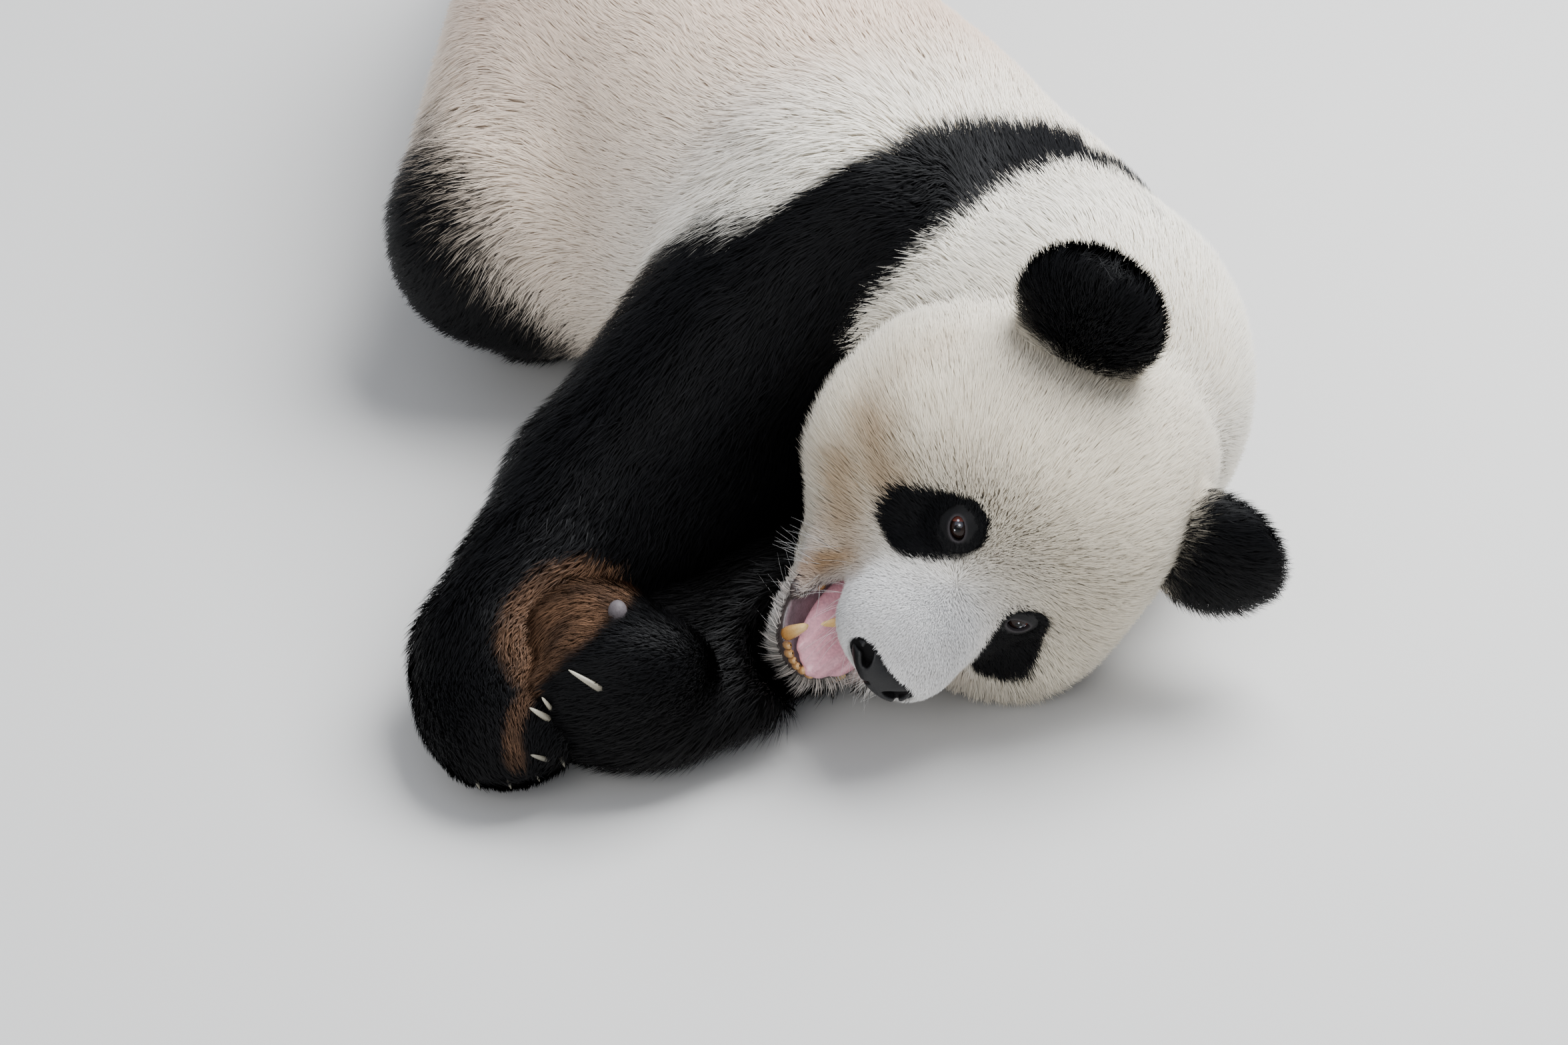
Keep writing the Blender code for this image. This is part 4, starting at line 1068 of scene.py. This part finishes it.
def tongue_colour(pts):
    grain = noise(pts, 0.0018, 61)
    return lin(226, 164, 176) * (1 + 0.12 * grain)[:, None]


tongue = local_surface("tongue_piece", tongue_field, (-0.003, -0.150, -0.1255), 0.062, 0.0014, M_WET, tongue_colour)
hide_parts("tongue")

def lining(q_):
    s_ = skin_in_head(q_) - 0.0018
    inside_ = mouth_hollow(q_)
    s_ = np.maximum(s_, inside_ - 0.0120)
    return np.maximum(s_, (q_[:, 2] + 0.098) - 0.50 * (q_[:, 1] + 0.125))


def lining_colour(pts):
    """Dark lips, blue-grey and pink inside."""
    height = mouth_plane(pts)
    grain = noise(pts, 0.0035, 63)
    lip = (ease(mouth_hollow(pts), -0.0004, 0.0026))[:, None]
    deep = ease(-height, 0.010, 0.024)[:, None]
    wall = lin(160, 142, 150) * (1 - deep) + lin(176, 138, 148) * deep
    dark_ = lin(78, 68, 66) * np.ones((len(pts), 3))
    return (wall * (1 - lip) + dark_ * lip) * (1 + 0.18 * grain)[:, None]


mouth = local_surface("mouth_lining", lining, (-0.018, -0.163, -0.128), 0.064, 0.0015, M_WET, lining_colour)


def rods(name, list_, material, colour_fn, sides=10, steps=9):
    """Tapered, curved rods: each a start, middle and end place with their widths, joined into one mesh."""
    pts, quads_, tone = [], [], []
    for a, b, c, ra, rb, rc, kind in list_:
        a, b, c = np.array(a), np.array(b), np.array(c)
        first = len(pts)
        for k in range(steps + 1):
            t = k / steps
            here = (1 - t) ** 2 * a + 2 * t * (1 - t) * b + t * t * c
            way_ = unit(2 * (1 - t) * (b - a) + 2 * t * (c - b))
            u1 = unit(np.cross(way_, (0.31, 0.17, 0.93)))
            u2 = np.cross(way_, u1)
            r_ = (1 - t) ** 2 * ra + 2 * t * (1 - t) * rb + t * t * rc
            if k in (0, steps):
                r_ = r_ * 0.35
            for j in range(sides):
                g_ = 2 * math.pi * j / sides
                pts.append(here + r_ * (math.cos(g_) * u1 + math.sin(g_) * u2))
                tone.append(colour_fn(kind, t))
        for k in range(steps):
            for j in range(sides):
                v0, v1 = first + k * sides + j, first + k * sides + (j + 1) % sides
                quads_.append((v0, v0 + sides, v1 + sides, v1))
        top = first + steps * sides
        for j in range(1, sides - 1, 2) if sides > 3 else ():
            quads_.append((top, top + j, top + j + 1, top + (j + 2) % sides))
    ob_ = mesh_object(name, np.array(pts), np.array(quads_), material)
    paint(ob_, np.array(tone))
    return ob_


# ---------------------------------------------------------------- teeth
def tooth_colour(kind, t):
    base_ = np.array(lin(176, 112, 44)) * (1 - t) + np.array(lin(226, 192, 128)) * t
    if kind == "front":
        base_ = np.array(lin(150, 106, 84)) * (1 - t) + np.array(lin(204, 158, 98)) * t
    return base_


TEETH = [((-0.0385, -0.2015, -0.1500), (-0.0430, -0.2060, -0.1340), (-0.0440, -0.2035, -0.1190), 0.0062, 0.0068, 0.0022, "eye tooth"),
         ((0.0300, -0.1760, -0.1600), (0.0320, -0.1770, -0.1500), (0.0320, -0.1760, -0.1420), 0.0055, 0.0058, 0.0022, "eye tooth"),
         ((-0.0320, -0.1900, -0.0780), (-0.0345, -0.1955, -0.0960), (-0.0370, -0.1960, -0.1130), 0.0060, 0.0056, 0.0016, "eye tooth"),
         ((0.0300, -0.1820, -0.0780), (0.0320, -0.1860, -0.0920), (0.0330, -0.1860, -0.1040), 0.0060, 0.0056, 0.0016, "eye tooth")]
for x, y, r in ((-0.0290, -0.2054, 0.0036), (-0.0222, -0.2080, 0.0040), (-0.0150, -0.2088, 0.0034), (-0.0088, -0.2090, 0.0035), (-0.0020, -0.2070, 0.0040), (0.0056, -0.2044, 0.0038)):
    z = -0.107 + 0.5 * (y + 0.125)
    TEETH.append(((x, y + 0.004, z - 0.008), (x, y, z - 0.005), (x + 0.0004, y + 0.0005, z - 0.0010 + 0.6 * (r - 0.0037)), r, r * 1.1, r * 0.85, "front"))
for x, y in ((-0.0530, -0.1480),):
    z = -0.107 + 0.5 * (y + 0.125)
    TEETH.append(((x + 0.008, y, z - 0.018), (x + 0.008, y, z - 0.014), (x + 0.007, y, z - 0.010), 0.0050, 0.0052, 0.0030, "front"))
teeth = rods("teeth", [(from_head(a), from_head(b), from_head(c), ra, rb, rc, kind) for a, b, c, ra, rb, rc, kind in TEETH], M_TOOTH, tooth_colour)


# ---------------------------------------------------------------- claws and pads
VIEW = np.array([0.0, -0.809, 0.588])


def settle(p, level=0.0, along=VIEW):
    """The place on a level of the coat's outer surface, going in along a line."""
    p = np.array(p, float) + 0.03 * along
    for _ in range(60):
        f_ = outer_of(part_distances(p[None])[0])[0] - level
        p = p - along * f_ * 0.8
    return p


def claw_colour(kind, t):
    k = 0.45 if kind == "worn" else 1.0
    return (np.array(lin(96, 90, 78)) * (1 - t) + np.array(lin(190, 184, 164)) * t) * k


CLAWS = []
for b_, t_, r_ in (((-0.3381, -0.2089, 0.1280), (-0.3674, -0.1945, 0.1395), 0.0033), ((-0.3815, -0.2004, 0.1003), (-0.3905, -0.1924, 0.1090), 0.0024),
                   ((-0.3839, -0.2019, 0.0921), (-0.4010, -0.1966, 0.1010), 0.0034), ((-0.3851, -0.2189, 0.0619), (-0.4000, -0.2216, 0.0700), 0.0026)):
    b_, t_ = settle(b_, -0.006), settle(t_, 0.001)
    CLAWS.append((b_, (b_ + t_) / 2 + VIEW * 0.009, t_ + VIEW * 0.002, r_, r_ * 0.85, 0.0008, "worn" if t_[2] < 0.085 else "claw"))
pads_pts = []
for k_, paw in PAWS.items():
    a_, w_, n_ = paw_frame(paw)
    root_ = np.array(paw["root"], float)
    for i in range(-2, 3):
        toe = root_ + a_ * (paw["reach"] + 0.030 - 0.0045 * i * i) + w_ * 0.0245 * i
        if k_ != "forepaw_left":
            b_ = toe + a_ * 0.014 - n_ * 0.007
            CLAWS.append((b_, b_ + a_ * 0.014 + n_ * 0.002, b_ + a_ * 0.024 - n_ * 0.008, 0.0036, 0.0030, 0.0008, "worn"))
        pads_pts.append((toe - n_ * 0.0195 + a_ * 0.006, (0.012, 0.0095, 0.006), (a_, w_, n_)))
    pads_pts.append((root_ + a_ * (paw["reach"] - 0.004) - n_ * (paw["r"][2] * 0.88), (0.020, 0.046, 0.010), (a_, w_, n_)))
CLAWS = [c_ for c_ in CLAWS if c_[2][2] > 0.001]
claws = rods("claws", CLAWS, M_CLAW, claw_colour)
carpal = settle((-0.3270, -0.0610, 0.1030), -0.002)
pads_pts.append((carpal, (0.0082, 0.0098, 0.0085), (np.array([1.0, 0, 0]), np.array([0, 0.588, 0.809]), VIEW)))
sphere, sphere_tri = [], []
for i in range(9):
    for j in range(16):
        th, ph = math.pi * i / 8, 2 * math.pi * j / 16
        sphere.append((math.sin(th) * math.cos(ph), math.sin(th) * math.sin(ph), math.cos(th)))
for i in range(8):
    for j in range(16):
        v0, v1 = i * 16 + j, i * 16 + (j + 1) % 16
        if i > 0:
            sphere_tri.append((v0, v0 + 16, v1))
        if i < 7:
            sphere_tri.append((v1, v0 + 16, v1 + 16))
sphere = np.array(sphere)
pp, pf_, pc_ = [], [], []
for c_, r_, (e1, e2, e3) in pads_pts:
    pf_.append(np.array(sphere_tri) + len(pp) * len(sphere))
    pp.append(np.array(c_) + sphere[:, :1] * r_[0] * e1 + sphere[:, 1:2] * r_[1] * e2 + sphere[:, 2:] * r_[2] * e3)
    pc_.append(np.tile(lin(92, 86, 88) if len(pp) == len(pads_pts) else lin(40, 36, 36), (len(sphere), 1)))
pp = np.concatenate(pp)
pp[:, 2] = np.maximum(pp[:, 2], 0.0008)
pads = mesh_object("pads", pp, np.concatenate(pf_), M_BARE)
paint(pads, np.concatenate(pc_))


# ---------------------------------------------------------------- whiskers and long hairs of the chin
spots = np.nonzero(keep & np.isin(part_of, [names.index("jaw"), names.index("head")]) & (qt[:, 1] < -0.12) & (qt[:, 2] < -0.075)
                   & (mouth_hollow(qt) > 0.006) & (mouth_hollow(qt) < 0.045) & (roots[:, 2] > 0.02))[0]
spots = spots[rng.permutation(len(spots))[:110]]
hairs = []
for i in spots:
    long_ = 0.020 + 0.030 * rng.random()
    out_ = unit(up[i] * 0.75 + way[i] * 0.75 + rng.normal(0, 0.18, 3))
    bend_ = unit(out_ + way[i] * 0.5 + np.array([0, 0, -0.2]))
    hairs.append((roots[i], roots[i] + out_ * long_ * 0.5, roots[i] + out_ * long_ * 0.5 + bend_ * long_ * 0.5, 0.00013, 0.00011, 0.00005, "hair"))
whiskers = rods("whiskers", hairs, M_WHISKER, lambda kind, t: np.array([0.75, 0.74, 0.72]), 3, 5)


# ---------------------------------------------------------------- camera, light, floor
bpy.ops.mesh.primitive_plane_add(size=14, location=(0, 0, -0.0002))
floor = bpy.context.object
floor.name = "floor"
m, t, b = new_material("floor", (0.62, 0.61, 0.59), 0.7)
floor.data.materials.append(m)

E = math.radians(36.0)
F = 10440.0
right, over_, ahead = np.array([1.0, 0, 0]), np.array([0, math.sin(E), math.cos(E)]), np.array([0, math.cos(E), -math.sin(E)])
eye_at = np.array([0, 0, 0.165]) - 6.0 * ahead - (324 / F) * 6.0 * right - (19 / F) * 6.0 * over_ + OFFSET
cam = bpy.data.cameras.new("camera")
cam.lens = 10440 / 2352 * 36
cam.sensor_width = 36
camera = bpy.data.objects.new("camera", cam)
camera.location = eye_at
camera.rotation_euler = (math.radians(54.0), 0, 0)
bpy.context.scene.collection.objects.link(camera)
bpy.context.scene.camera = camera


def lamp(name, place, size, energy, aim=(0, 0, 0.1), colour=(1, 1, 1)):
    light = bpy.data.lights.new(name, "AREA")
    light.shape = "RECTANGLE"
    light.size = light.size_y = size
    light.energy = energy
    light.color = colour
    ob = bpy.data.objects.new(name, light)
    ob.location = place
    ob.rotation_euler = (Vector(aim) - Vector(place)).to_track_quat("-Z", "Y").to_euler()
    bpy.context.scene.collection.objects.link(ob)


lamp("sky", (1.25, 0.5, 2.9), 2.5, 284, colour=(0.96, 0.98, 1.0))
lamp("front", (-1.2, -3.0, 1.9), 2.0, 40, colour=(1.0, 0.99, 0.97))
world = bpy.data.worlds.new("world")
bpy.context.scene.world = world
world.use_nodes = True
world.node_tree.nodes["Background"].inputs["Color"].default_value = (0.80, 0.85, 0.95, 1)
world.node_tree.nodes["Background"].inputs["Strength"].default_value = 0.72
